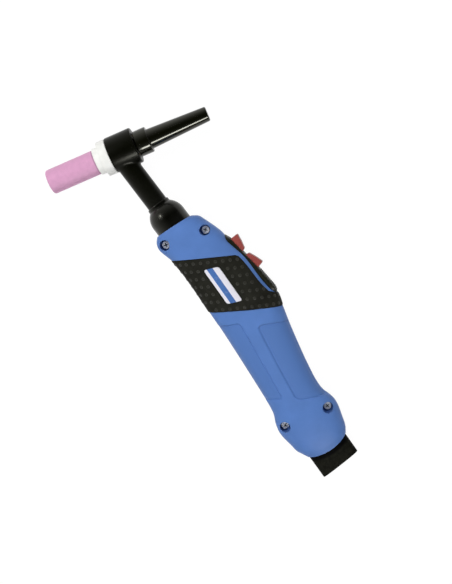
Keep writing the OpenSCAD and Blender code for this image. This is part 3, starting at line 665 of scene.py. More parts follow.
def tinted(mat, dark, read, low, high):
    """Darkens a finish where a value falls from high to low."""
    over(mat, lambda tree, below: blend(
        tree,
        spread(tree, read(tree), (low, high), (0, 1), interpolation_type="SMOOTHSTEP"),
        (*dark, 1),
        below,
    ))


def height_above_middle(tree):
    """Height over the parting plane in metres."""
    return split(tree, object_place(tree))["Z"]


def from_mesh(name):
    """Reader of a value kept on the mesh."""
    return lambda tree: node(tree, "ShaderNodeAttribute", attribute_name=name).outputs["Fac"]


def striped(mat, stripe, low, high):
    """Prints one stripe along the plate, on the plate's own slant."""

    def paint(tree, below):
        turned = node(
            tree, "ShaderNodeMapping",
            {"Vector": object_place(tree), "Location": (PLATE_AT[0] * MM, PLATE_AT[1] * MM, 0),
             "Rotation": (0, 0, PLATE_TURN)},
            vector_type="TEXTURE",
        )
        y = split(tree, turned.outputs["Vector"])["Y"]
        inside = maths(tree, "MULTIPLY", maths(tree, "GREATER_THAN", y, low * MM),
                       maths(tree, "LESS_THAN", y, high * MM))
        return blend(tree, inside, below, (*stripe, 1))

    over(mat, paint)


def toned(tint, share):
    """A colour made darker or lighter."""
    return tuple(c * share for c in tint)


def palette():
    """The finishes by name, made once."""
    if "shell nylon" in bpy.data.materials:
        return {m.name: m for m in bpy.data.materials}
    f = bpy.context.scene.torch_finishes
    black, olive = tuple(f.moulding), (1, 1, 0.87)
    tinted(moulded("shell nylon", tuple(f.shell), rough=0.5, uneven=0.05, mottle=0.05,
                   mottle_size=14, grain=0.35, grain_size=0.45, wear=0.2, specular=0.12),
           toned(f.shell, f.panel_tone), from_mesh("raised"), -0.8, -0.1)
    moulded("grip rubber", tuple(f.rubber), rough=0.72, uneven=0.08, mottle=0.18, mottle_size=6,
            grain=0.5, grain_size=0.35, wear=0.06, dust=0.002, specular=0.07)
    # The dots are painted half as light again as the rubber: partly worn, smoother tops, partly a
    # painted highlight on the domes.
    moulded("grip dots", toned(f.rubber, 1.5), rough=0.5, uneven=0.08, mottle=0.25,
            mottle_size=4, grain=0.4, grain_size=0.35, wear=0.06, specular=0.2)
    moulded("head insulation", toned(black, 0.35), rough=0.32, uneven=0.05, mottle=0.15,
            mottle_size=10, grain=0.12, grain_size=0.8, wear=0.02, specular=0.14, sheen=olive)
    moulded("boot rubber", toned(black, 0.15), rough=0.26, uneven=0.02, mottle=0.15,
            mottle_size=12, grain=0.02, grain_size=1.2, wear=0.02, specular=0.32, sheen=olive)
    moulded("cap phenolic", toned(black, 0.5), rough=0.14, uneven=0.02, mottle=0.12,
            mottle_size=14, grain=0.01, grain_size=1.5, wear=0.03, sheen=olive)
    moulded("switch nylon", toned(black, 1.6), rough=0.45, uneven=0.06, mottle=0.15,
            mottle_size=5, grain=0.4, grain_size=0.4, wear=0.06, specular=0.3)
    moulded("inner nylon", (0.024, 0.024, 0.026), rough=0.5, mottle_size=6, grain=0.3)
    moulded("seal rubber", (0.010, 0.010, 0.010), rough=0.35, mottle_size=4, grain=0.1)
    moulded("white gasket", tuple(f.gasket), rough=0.42, uneven=0.05, mottle=0.03, mottle_size=5,
            grain=0.15, grain_size=0.6, wear=0.0, specular=0.3)
    # The nozzle is painted a darker pink up to 0.3 mm from its rear rim at the gasket, fading out
    # by 1.6 mm: painted shade where it meets the gasket.
    tinted(moulded("fired alumina", tuple(f.ceramic), rough=0.5, uneven=0.05, mottle=0.04,
                   mottle_size=3, grain=0.25, grain_size=0.3, wear=0.15, specular=0.3),
           toned(f.ceramic, 0.62), from_mesh("from_rim"), 0.3, 1.6)
    moulded("key nylon", tuple(f.key), rough=0.42, uneven=0.06, mottle=0.07, mottle_size=5,
            grain=0.2, grain_size=0.4, wear=0.15, specular=0.3)
    moulded("plunger nylon", (0.60, 0.075, 0.055), rough=0.35, mottle_size=3, grain=0.15)
    # The screw steel is painted dark from 0.7 mm under the head's top, fading out 0.2 mm under it:
    # painted shade in the cross recess and on the rounded shoulder.
    head_top = SCREW_SEAT + SCREW_HEAD
    tinted(moulded("screw steel", (0.80, 0.81, 0.80), rough=0.42, uneven=0.08, mottle=0.1,
                   mottle_size=2, grain=0.1, grain_size=0.3, wear=0.1, metal=0.1),
           (0.16, 0.17, 0.16), height_above_middle, (head_top - 0.7) * MM, (head_top - 0.2) * MM)
    moulded("zinc steel", (0.60, 0.61, 0.63), rough=0.30, uneven=0.08, mottle=0.08, mottle_size=2,
            grain=0.1, grain_size=0.3, wear=0.3, metal=1)
    moulded("turned brass", (0.58, 0.38, 0.13), rough=0.32, uneven=0.08, mottle=0.1,
            mottle_size=4, grain=0.15, grain_size=0.25, wear=0.3, metal=1)
    moulded("turned copper", (0.56, 0.25, 0.12), rough=0.34, uneven=0.09, mottle=0.14,
            mottle_size=4, grain=0.15, grain_size=0.25, wear=0.3, metal=1)
    moulded("board resin", (0.020, 0.115, 0.055), mottle_size=3, grain=0.3)
    moulded("plug nylon", (0.72, 0.70, 0.62), mottle=0.04, mottle_size=3, grain=0.15)
    # The sleeve is painted near black where it leaves the shell's rear rim, fading out between 2.8
    # and 5.2 mm: a painted shadow of the rim.
    tinted(moulded("sleeve hide", tuple(f.sleeve), rough=0.75, uneven=0.1, mottle=0.4,
                   mottle_size=3, grain=0.9, grain_size=1.1, wear=0.05, cells=True, dust=0.002,
                   specular=0.04),
           (0.0008, 0.0008, 0.0008), from_mesh("way_out"), 2.8, 5.2)
    striped(moulded("printed plate", tuple(f.plate), rough=0.25, mottle=0.02, grain=0.05,
                    wear=0.0),
            tuple(f.stripe), STRIPE_LOW, STRIPE_HIGH)
    return {m.name: m for m in bpy.data.materials}


# ---------------------------------------------------------------- node trees


def stand_tree(name, dome=None):
    """Node group that stands a shape on every point, along the point's aim.

    The shape is a dome, given as its radius, height, segments and rings, or another object,
    which is also turned at random about its aim.
    """
    tree = bpy.data.node_groups.new(name, "GeometryNodeTree")

    def socket(label, kind, way="INPUT"):
        return tree.interface.new_socket(label, in_out=way, socket_type=f"NodeSocket{kind}")

    socket("Points", "Geometry")
    if dome:
        for label, value in zip(("Radius", "Height"), dome):
            socket(label, "Float").default_value = value * MM
    else:
        socket("Shape", "Object")
    socket("Finish", "Material")
    socket("Geometry", "Geometry", "OUTPUT")

    given = node(tree, "NodeGroupInput").outputs
    points = node(tree, "GeometryNodeMeshToPoints", {"Mesh": given["Points"]})
    aim = node(tree, "GeometryNodeInputNamedAttribute", {"Name": "aim"}, data_type="FLOAT_VECTOR")
    turn = node(tree, "FunctionNodeAlignRotationToVector", {"Vector": aim.outputs["Attribute"]},
                axis="Z").outputs["Rotation"]
    if dome:
        ball = node(tree, "GeometryNodeMeshUVSphere",
                    {"Segments": dome[2], "Rings": dome[3], "Radius": 1})
        scale = node(tree, "ShaderNodeCombineXYZ",
                     {"X": given["Radius"], "Y": given["Radius"], "Z": given["Height"]})
        shape = node(tree, "GeometryNodeTransform",
                     {"Geometry": ball.outputs["Mesh"], "Scale": scale.outputs["Vector"]})
    else:
        shape = node(tree, "GeometryNodeObjectInfo", {"Object": given["Shape"]})
        spin = node(tree, "FunctionNodeRandomValue", {2: 0, 3: math.pi, "Seed": 7},
                    data_type="FLOAT")
        about = node(tree, "FunctionNodeAxisAngleToRotation", {"Angle": spin.outputs[1]})
        turn = node(tree, "FunctionNodeRotateRotation",
                    {"Rotation": turn, "Rotate By": about.outputs["Rotation"]},
                    rotation_space="LOCAL").outputs["Rotation"]
    stand = node(tree, "GeometryNodeInstanceOnPoints",
                 {"Points": points.outputs["Points"], "Instance": shape.outputs["Geometry"],
                  "Rotation": turn})
    real = node(tree, "GeometryNodeRealizeInstances", {"Geometry": stand.outputs["Instances"]})
    paint = node(tree, "GeometryNodeSetMaterial",
                 {"Geometry": real.outputs["Geometry"], "Material": given["Finish"]})
    node(tree, "NodeGroupOutput", {"Geometry": paint.outputs["Geometry"]})
    return tree


def stand_on(name, points, aims, tree, **inputs):
    """Plain mesh object of a node tree's shapes on a set of millimetre points."""
    obj = add_object(name, points, [])
    field = obj.data.attributes.new("aim", "FLOAT_VECTOR", "POINT")
    field.data.foreach_set("vector", np.asarray(aims, float).ravel())
    mod = obj.modifiers.new("stand", "NODES")
    mod.node_group = tree
    for item in tree.interface.items_tree:
        if item.in_out == "INPUT" and item.name in inputs:
            mod[item.identifier] = inputs[item.name]
    return bake(obj)


# ---------------------------------------------------------------- handle

# panels under and over the raised band: x of their front and rear edge at height 0, and how
# far the edges lean back for each millimetre of height
PANEL_LOW = (HANDLE_X + 82.7, HANDLE_END - 49.6, 1 / math.tan(math.radians(69)))
PANEL_UP = (HANDLE_X + 85.8, HANDLE_END - 47.7, 1 / math.tan(math.radians(66)))
BAND_X, BAND_Y, BAND_TOP, BAND_BOTTOM = (HANDLE_X + HANDLE_END) / 2, 12, 16.6, 8.5
# control lines across the handle: x at height 0 under and over the band, then their leans
LINES = np.array([
    (HANDLE_X, HANDLE_X, 0, 0),
    (INLAY_FRONT, INLAY_FRONT, LEAN, LEAN),
    (INLAY_REAR, INLAY_REAR, LEAN, LEAN),
    (PANEL_LOW[0], PANEL_UP[0], PANEL_LOW[2], PANEL_UP[2]),
    (PANEL_LOW[1], PANEL_UP[1], PANEL_LOW[2], PANEL_UP[2]),
    (HANDLE_END, HANDLE_END, 0, 0),
])
# length along the skin that a degree spans: on the flank's band, at the rubber's top edge,
# beside its dots and at its seams
BAND_ARC, EDGE_ARC, DOT_ARC, SEAM_ARC = 0.42, 0.30, 0.34, 0.28
INLAY_AROUND = 66.0  # length of the rubber round the handle, from belly to top edge
# the rubber's top edge: its lowest and highest angle on the flank, and how far back the climb
# between them starts and ends; from there a tongue runs over the ridge within a length
TOP_LOW, TOP_HIGH, CLIMB, TONGUE, TONGUE_L = 48, 54, 43, 77.8, 7.2
EDGE_STEPS = np.array([0, 0.08, 0.2, 0.4, 0.65, 0.95])  # fine rows beside the rubber's edges


def on_line(s, a):
    """x where control line s, a whole number or a share between two, meets angle a."""
    i = np.clip(np.floor(s).astype(int), 0, len(LINES) - 2)
    t = (s - i)[..., None]
    low_x, up_x, low_lean, up_lean = np.moveaxis(LINES[i] * (1 - t) + LINES[i + 1] * t, -1, 0)
    x = low_x + low_lean * BAND_Y
    for _ in range(24):  # closes in on where the line meets the skin
        y = mid(x) + rise(x) * sine(a)
        k = smooth((y - BAND_BOTTOM) / (BAND_TOP - BAND_BOTTOM))
        x = (low_x + (up_x - low_x) * k) + (low_lean + (up_lean - low_lean) * k) * y
        x = np.clip(x, HANDLE_X, HANDLE_END)
    return x


def panel_drop(x, y, a, sizes):
    """Depth of the panels: a soft step with rounded corners and a fine line at its foot.

    A panel runs out towards the ridge and the belly.
    """
    edge, corner = sizes.panel_edge, sizes.panel_corner
    depth = 0
    for (front, rear, lean), inside in (
        (PANEL_LOW, (angle_at(BAND_X, BAND_BOTTOM) - a) * BAND_ARC),
        (PANEL_UP, (a - angle_at(BAND_X, BAND_TOP)) * BAND_ARC),
    ):
        across = 1 / math.hypot(1, lean)
        sides = ((x - front - lean * y) * across, (rear + lean * y - x) * across, inside)
        short = np.stack([np.maximum(corner - d, 0) for d in sides])
        near = corner - np.sqrt((short**2).sum(0))
        line = sizes.panel_line * np.exp(-(((near - edge * 0.8) / (edge * 0.5)) ** 2))
        depth = np.maximum(depth, sizes.panel_depth * smooth(near / edge) + line)
    return depth * smooth((90 - np.abs(a)) / sizes.panel_fade)


def spaced(stops, counts):
    """Steps between stops, a count for each gap; the last gap's count takes in its end."""
    gaps = list(zip(stops, stops[1:], counts))
    return np.concatenate([
        np.linspace(a, b, n, endpoint=i == len(gaps) - 1) for i, (a, b, n) in enumerate(gaps)
    ])


def half_body(name, sizes):
    """The half of the handle on the +Z side as one solid, panels pressed in."""
    # the rows stand closer at the rims and beside the panels' edges
    s = spaced((0, 0.3, 1, 2, 2.86, 3, 3.045, 3.955, 4, 4.05, 4.86, 5),
               (14, 22, 46, 14, 9, 14, 52, 14, 6, 44, 14))
    low, high = angle_at(BAND_X, BAND_BOTTOM), angle_at(BAND_X, BAND_TOP)
    a = spaced((-90, -88, low - 5, low + 0.5, high - 0.5, high + 5, 88, 90),
               (4, 34, 16, 5, 16, 34, 5))
    S, A = np.meshgrid(s, a, indexing="ij")
    x = on_line(S, A)
    base = skin(x, A)
    drop = panel_drop(x, base[..., 1], A, sizes)
    drop = drop + sizes.seam * (1 - smooth(np.abs(base[..., 2]) / 0.5))
    points = skin(x, A, drop)
    points[:, 0, 2] = points[:, -1, 2] = 0
    return loft(name, points)


def hollow(name):
    """The handle's hollow on the +Z side, run past both ends and the parting plane."""
    x = np.concatenate([
        [HANDLE_X - 1],
        spaced((HANDLE_X + 1, HANDLE_X + 14, HANDLE_END - 14, HANDLE_END - 1), (12, 40, 13))[:-1],
        [HANDLE_END + 1, HANDLE_END + RIM_BOW + 1],
    ])
    X, A = np.meshgrid(x, np.linspace(-95, 95, 44), indexing="ij")
    return loft(name, cavity(X, A))


def inlay_top(x):
    """Angle of the rubber's upper edge, which climbs over the ridge in a tongue at the rear."""
    d = x - HANDLE_X
    edge = TOP_LOW + (TOP_HIGH - TOP_LOW) * np.clip((d - CLIMB) / (TONGUE - CLIMB), 0, 1)
    return edge + (90 - edge) * smooth((d - TONGUE) / TONGUE_L)


def inlay_grid(s, v, grow, corner):
    """x and angle of the rubber's grid; s runs from front to rear and v from belly to top."""
    S, V = np.meshgrid(s, v, indexing="ij")
    front, rear = INLAY_FRONT - grow, INLAY_REAR + grow
    x = np.full(S.shape, 110.0)  # a first guess
    for _ in range(40):  # closes in on the slanted line at the skin's own height
        top = inlay_top(x) + grow * 2
        a = -90 + (top + 90) * V
        y = mid(x) + rise(x) * sine(a)
        from_top = (1 - V) * (top + 90) * EDGE_ARC
        short = np.clip(1 - from_top / corner, 0, 1)
        start = front + corner * (1 - np.sqrt(1 - short**2))
        x = 0.5 * x + 0.5 * (start + (rear - start) * S + LEAN * y)
    return x, a, S, V


def inlay_solid(name, heights, floor, grow=0.0, corner=2.2, past=0.0):
    """Closed slab over the rubber's outline; heights maps distances from its edge to heights."""
    length = (INLAY_REAR - INLAY_FRONT) * math.sin(INLAY_SLANT)
    fine = EDGE_STEPS / length
    s = np.concatenate([fine, np.linspace(0.045, 0.955, 44), 1 - fine[::-1]])
    v = np.concatenate([np.linspace(0, 0.97, 70), 1 - EDGE_STEPS[::-1] / INLAY_AROUND])
    x, a, S, V = inlay_grid(s, v, grow, corner)
    edge = np.minimum(np.minimum(S, 1 - S) * length, (1 - V) * INLAY_AROUND)
    grids = skin(x, a, -heights(edge, a)), skin(x, a, np.full(x.shape, floor))
    for grid in grids:
        grid[:, 0, 2] = grid[a[:, -1] > 89.5, -1, 2] = -past
    n, m = x.shape
    verts = np.concatenate([grid.reshape(-1, 3) for grid in grids])
    faces = []
    for i in range(n - 1):
        for j in range(m - 1):
            q = (i * m + j, i * m + j + 1, (i + 1) * m + j + 1, (i + 1) * m + j)
            faces += [q, tuple(n * m + k for k in q)]
    rim = [i * m for i in range(n)] + [(n - 1) * m + j for j in range(1, m)]
    rim += [i * m + m - 1 for i in range(n - 2, -1, -1)] + list(range(m - 2, 0, -1))
    for p, q in zip(rim, rim[1:] + rim[:1]):
        faces.append((p, q, n * m + q, n * m + p))
    return settle(add_object(name, verts, faces), TINIER)


def blunt(t):
    """Quarter circle from 0 to 1."""
    return np.sqrt(1 - (1 - np.clip(t, 0, 1)) ** 2)


def squared(t):
    """Squares off a sine or cosine by more than the handle's section."""
    return np.sign(t) * np.sqrt(np.abs(t))


def module_half(d):
    """Half width of the switch module's cover at a distance behind its tip."""
    nose = blunt((d + MODULE_BLUNT) / MODULE_NOSE)
    return MODULE_W * nose * blunt((MODULE_L + MODULE_BLUNT - d) / MODULE_HEEL)


def module_body(name, grow, around=48):
    """Boat-shaped cover of the switch module, grown all round by a clearance."""
    stops = (MODULE_BLUNT, MODULE_NOSE, MODULE_L - MODULE_HEEL, MODULE_L - MODULE_BLUNT)
    d = np.concatenate([[-grow], spaced(stops, (12, 30, 14)), [MODULE_L + grow]])
    half = module_half(np.clip(d, 0, MODULE_L)) + grow
    top = curve(MODULE_RIDGE, d) + grow
    h = MODULE_SKIN / 2 + grow
    a = np.radians(np.linspace(0, 360, around, endpoint=False))
    return loft(name, stack(
        (MODULE_X + d)[:, None],
        (top - h)[:, None] + h * squared(np.sin(a)),
        half[:, None] * squared(np.cos(a)),
    ))


def tub(name, grow, deeper):
    """Box under the cover that holds the switches."""
    past = KEY_ROOM + TUB_WALL
    w = KEY_W + KEY_GAP + TUB_WALL + grow
    return block(
        name,
        (BRIDGE_FRONT - FRONT_KEY[0] - past - grow, -TUB_DEPTH - deeper - grow, -w),
        (BRIDGE_REAR + REAR_KEY[0] + past + grow, TUB_TOP, w),
        ON_MODULE,
    )


class TORCH_OT_shells(bpy.types.Operator):
    """Build the two blue handle shells"""

    bl_idname = "torch.shells"
    bl_label = "Handle shells"

    def execute(self, context):
        sizes = context.scene.torch_sizes

        def above_skin(edge, a):
            return np.full(edge.shape, 2.0)

        def at_screws(r, low, high):
            return [rod("bore", r, low, high, Matrix.Translation((*at, 0))) for at in SCREWS]

        for side, boss in BOSSES.items():
            shell = half_body(f"shell_{side}", sizes)
            cut(
                shell,
                cut(hollow("room"), *at_screws(boss, -3, OUTSIDE)),
                inlay_solid("recess", above_skin, INLAY_BED, INLAY_GROOVE, past=0.5),
                module_body("opening", SOFT_FIT),
                tub("tub", SOFT_FIT, BOARD_T),
            )
            if side == "left":
                cut(shell, *at_screws(SHANK_R, -1, SCREW_SEAT + 1))
                cut(shell, *at_screws(BORE_R, SCREW_SEAT, OUTSIDE))
            else:
                cut(shell, *at_screws(INSERT_R, -1, INSERT_TOP))
            x, y, z = vertices_of(shell).T
            drop = panel_drop(x, y, angle_at(x, y), sizes)
            keep_on_mesh(shell, "raised", np.where(z > 1, -drop, 0))
            if side == "right":
                mirrored(shell)
            finish(shell, "shell nylon", "torch", "blue_shell", f"handle_shell_{side}", angle=28)
        return {"FINISHED"}


def plate_outline(sizes, grow, around=8):
    """Rounded outline of the plate, grown all round."""
    l, h = sizes.plate_length / 2 + grow, sizes.plate_height / 2 + grow
    s = h * PLATE_LEAN
    corners = np.array([(-l - s, -h), (l - s, -h), (l + s, h), (-l + s, h)])
    out = []
    for i in range(4):
        out += rounding(corners[i - 1], corners[i], corners[(i + 1) % 4], PLATE_CORNER, around)[1]
    c, n = math.cos(PLATE_TURN), math.sin(PLATE_TURN)
    return [(PLATE_AT[0] + x * c - y * n, PLATE_AT[1] + x * n + y * c) for x, y in out]


def in_plate(x, y, sizes, margin):
    """Whether a point of the flank lies on the plate or within a margin of it."""
    c, n = math.cos(PLATE_TURN), math.sin(PLATE_TURN)
    x, y = x - PLATE_AT[0], y - PLATE_AT[1]
    v = y * c - x * n
    u = x * c + y * n - v * PLATE_LEAN
    return abs(v) < sizes.plate_height / 2 + margin and abs(u) < sizes.plate_length / 2 + margin


def run_along(line):
    """Length along a line up to each of its points."""
    return np.concatenate([[0], np.cumsum(np.linalg.norm(np.diff(line, axis=0), axis=1))])


def dot_lattice(sizes, plate):
    """Points and aims of the raised dots: slanted lines, in rows along the surface."""
    a = np.linspace(-90, 90, 721)
    margin = sizes.dot_radius + 0.7  # between a dot's centre and the rubber's edge
    middle, highest = 28.0, 78  # height of row 0 on the flank, and angle of the last dots
    points, aims = [], []
    for i in range(int((INLAY_REAR - INLAY_FRONT) / sizes.dot_pitch) + 1):
        at = INLAY_FRONT + (i + 0.55) * sizes.dot_pitch
        x = np.full(a.shape, at + 8.0)
        for _ in range(30):  # closes in on the slanted line at the skin's own height
            x = at + LEAN * (mid(x) + rise(x) * sine(a))
        line = skin(x, a, -sizes.inlay_proud)
        run = run_along(line[:, 1:])
        start = np.interp(middle, line[:, 1], run)
        for k in range(-16, 8):
            r = start + k * sizes.dot_rows
            if not 0.4 < r < run[-1] - 0.2:
                continue
            angle = np.interp(r, run, a)
            px, *p = (np.interp(angle, a, column) for column in (x, *line.T))
            p = np.array(p)
            lead = (px - LEAN * p[1] - INLAY_FRONT) * math.sin(INLAY_SLANT)
            trail = (INLAY_REAR - px + LEAN * p[1]) * math.sin(INLAY_SLANT)
            top = inlay_top(px)
            near_top = (top - angle) * DOT_ARC < margin and top < 89.5
            if min(lead, trail) < margin or near_top or angle > highest:
                continue
            if plate and p[2] > 5 and in_plate(p[0], p[1], sizes, sizes.dot_radius + 0.5):
                continue
            along = skin(px + 0.5, angle) - skin(px - 0.5, angle)
            up = skin(px, min(angle + 0.4, 90)) - skin(px, max(angle - 0.4, -90))
            n = np.cross(along, up)
            n /= np.linalg.norm(n)
            points.append(p)
            aims.append(n if n @ (0, p[1] - mid(px), p[2]) >= 0 else -n)
    return points, aims


class TORCH_OT_grips(bpy.types.Operator):
    """Build the rubber inlays of the grip and their raised dots"""

    bl_idname = "torch.grips"
    bl_label = "Grip inlays"

    def execute(self, context):
        sizes = context.scene.torch_sizes
        tree = stand_tree("Stand domes", (1.3, 0.7, 12, 6))
        sunk, groove = 0.1, 0.3  # rubber's edge in its recess, and the seam's depth

        def height(edge, a):
            e = np.clip(edge / sizes.inlay_edge, 0, 1)
            h = -sunk + (sizes.inlay_proud + sunk) * np.sqrt(1 - (1 - e) ** 2)
            seam = np.minimum(a + 90, np.where(a > 0, 90 - a, 180)) * SEAM_ARC
            return h - groove * (1 - smooth(seam / 0.5))

        for side in ("left", "right"):
            inlay = inlay_solid(f"grip_{side}", height, INLAY_BACK, corner=sizes.inlay_corner)
            cut(inlay, module_body("opening", SOFT_FIT))
            points, aims = dot_lattice(sizes, side == "left")
            if side == "left":
                outline = plate_outline(sizes, 0.45)
                cut(inlay, prism("plate room", outline, PLATE_FOOT - 0.2, OUTSIDE))
            else:
                mirrored(inlay)
                points, aims = ([v * (1, 1, -1) for v in way] for way in (points, aims))
            finish(inlay, "grip rubber", "torch", "grip_rubber", f"grip_inlay_{side}", angle=35)
            dots = stand_on(f"grip_dots_{side}", points, aims, tree,
                            Radius=sizes.dot_radius * MM, Height=sizes.dot_height * MM,
                            Finish=palette()["grip dots"])
            finish(dots, "grip dots", "torch", "grip_rubber", angle=60)
        return {"FINISHED"}


class TORCH_OT_plate(bpy.types.Operator):
    """Build the white plate on the left grip"""

    bl_idname = "torch.plate"
    bl_label = "Plate"

    def execute(self, context):
        sizes = context.scene.torch_sizes
        plate = prism("plate", plate_outline(sizes, 0, 12), PLATE_FOOT, PLATE_TOP)
        bevel(plate, sizes.plate_bevel, 3, 50)
        finish(bake(plate), "printed plate", "torch", "plate_white", "label_plate", angle=30)
        return {"FINISHED"}


class TORCH_OT_screws(bpy.types.Operator):
    """Build the four cross-head screws of the handle"""

    bl_idname = "torch.screws"
    bl_label = "Handle screws"

    def execute(self, context):
        sizes = context.scene.torch_sizes
        r, top = sizes.screw_head, SCREW_HEAD
        shape = lathe("screw shape", fillet([
            (0, -SCREW_L, 0), (SCREW_R - 0.3, -SCREW_L, 0), (SCREW_R, 0.6 - SCREW_L, 0),
            (SCREW_R, 0, 0), (r - 0.15, 0, 0), (r, 0.15, 0), (r, top - 0.7, 0.3),
            (r * 0.86, top - 0.1, 0.5), (0, top, 0)], 6), Matrix(), 48)
        half, thin = sizes.screw_cross / 2, 0.38
        arms = [
            block("arm", (-half, -thin, top - 1.6), (half, thin, top + 1),
                  Matrix.Rotation(turn, 4, "Z"))
            for turn in (0, math.pi / 2)
        ]
        cut(shape, join(*arms, rod("well", 0.7, top - 1.9, top + 1)))
        screws = stand_on("screws", [(*at, SCREW_SEAT) for at in SCREWS],
                          [(0, 0, 1)] * len(SCREWS), stand_tree("Stand screws"),
                          Shape=shape, Finish=palette()["screw steel"])
        discard(shape)
        finish(screws, "screw steel", "torch", "screw_steel", "shell_screws", angle=30)
        return {"FINISHED"}


def key_shape(name, length, high, edge, place):
    """Wedge-shaped key with rounded edges, its post and its pin bore; its low end at x 0."""
    slope = 0.6
    outline = [(0, -KEY_SKIRT), (length - slope, -KEY_SKIRT), (length, 0),
               (length - slope, high), (length * 0.5, (high + KEY_LOW) / 2 + 0.25),
               (slope, KEY_LOW), (0, 0)]
    key = prism(name, outline, -KEY_W, KEY_W, place)
    bevel(key, edge, 4, 25)
    bake(key)
    reach = PIN_BACK + PRESS_REACH
    join(key, block("post", (reach - POST_W, MICRO_TOP + PLUNGER_H + SOFT_FIT, -POST_W),
                    (reach + POST_W, -2, POST_W), place))
    pin = place @ Matrix.Translation((PIN_BACK, -PIN_DROP, 0))
    return cut(key, rod("pin bore", PIN_R + 0.05, -8, 8, pin, 32))


class TORCH_OT_switch(bpy.types.Operator):
    """Build the switch module: its cover with the dotted thumb rest, and the two red keys"""

    bl_idname = "torch.switch"
    bl_label = "Switch module"

    def execute(self, context):
        sizes = context.scene.torch_sizes
        cover = join(module_body("switch_cover", 0, 72), tub("tub", 0, 0))
        w = KEY_W + KEY_GAP
        past = -TUB_DEPTH - 1

        def pocket(low, high):
            return block("pocket", (low, past, -w), (high, 9, w), ON_MODULE)

        cut(
            cover,
            pocket(BRIDGE_FRONT - FRONT_KEY[0] - KEY_ROOM, BRIDGE_FRONT + KEY_GAP),
            pocket(BRIDGE_REAR - KEY_GAP, BRIDGE_REAR + REAR_KEY[0] + KEY_ROOM),
            *[rod("pin", PIN_R + 0.03, -PIN_L / 2, PIN_L / 2,
                  ON_MODULE @ Matrix.Translation((p, -PIN_DROP, 0)), 32)
              for p in (BRIDGE_FRONT - PIN_BACK, BRIDGE_REAR + PIN_BACK)],
        )
        finish(cover, "switch nylon", "torch", "module_plastic", "switch_housing", angle=30)
        dots = stand_on("thumb_rest_dots", *self.rest_dots(sizes.rest_pitch),
                        stand_tree("Stand fine domes", (0.5, 0.3, 8, 4)),
                        Radius=sizes.rest_dot * MM, Height=sizes.rest_dot * 0.6 * MM,
                        Finish=palette()["switch nylon"])
        finish(dots, "switch nylon", "torch", "module_plastic", angle=60)
        for end, key, at, way in (("front", FRONT_KEY, BRIDGE_FRONT, -1),
                                  ("rear", REAR_KEY, BRIDGE_REAR, 1)):
            place = ON_MODULE @ Matrix.Translation((at, 0, 0)) @ Matrix.Scale(way, 4, (1, 0, 0))
            finish(key_shape(f"{end}_rocker", *key, sizes.key_edge, place), "key nylon",
                   f"{end}_key", "key_red", f"key_{end}", angle=35)
        return {"FINISHED"}

    def rest_dots(self, pitch):
        """Staggered dots over the rear half of the cover, from one flank to the other."""
        points, aims = [], []
        d = MODULE_AT[0] - MODULE_X + BRIDGE_REAR + REAR_KEY[0] + REST_GAP
        angles = np.radians(np.linspace(12, 168, 400))
        h = MODULE_SKIN / 2
        row = 0
        while d < MODULE_L - REST_END:
            half, top = float(module_half(d)), float(curve(MODULE_RIDGE, d))
            ring = np.stack([top - h + h * squared(np.sin(angles)),
                             half * squared(np.cos(angles))], -1)
            run = run_along(ring)
            count = int(run[-1] // pitch)
            for k in range(count):
                at = (run[-1] - (count - 1) * pitch) / 2 + (k + 0.5 * (row % 2) - 0.25) * pitch
                if not 0.2 < at < run[-1] - 0.2:
                    continue
                y, z = (np.interp(at, run, c) for c in ring.T)
                dy, dz = (np.interp(at + 0.3, run, c) - np.interp(at - 0.3, run, c)
                          for c in ring.T)
                n = Vector((0, -dz, dy)).normalized()
                if n.y < 0 and abs(z) < half * 0.9:
                    n = -n
                if n.z * z < 0:
                    n = -n
                points.append((MODULE_X + d, y, z))
                aims.append(tuple(n))
            d += pitch * 0.87
            row += 1
        return points, aims


# ---------------------------------------------------------------- head and neck


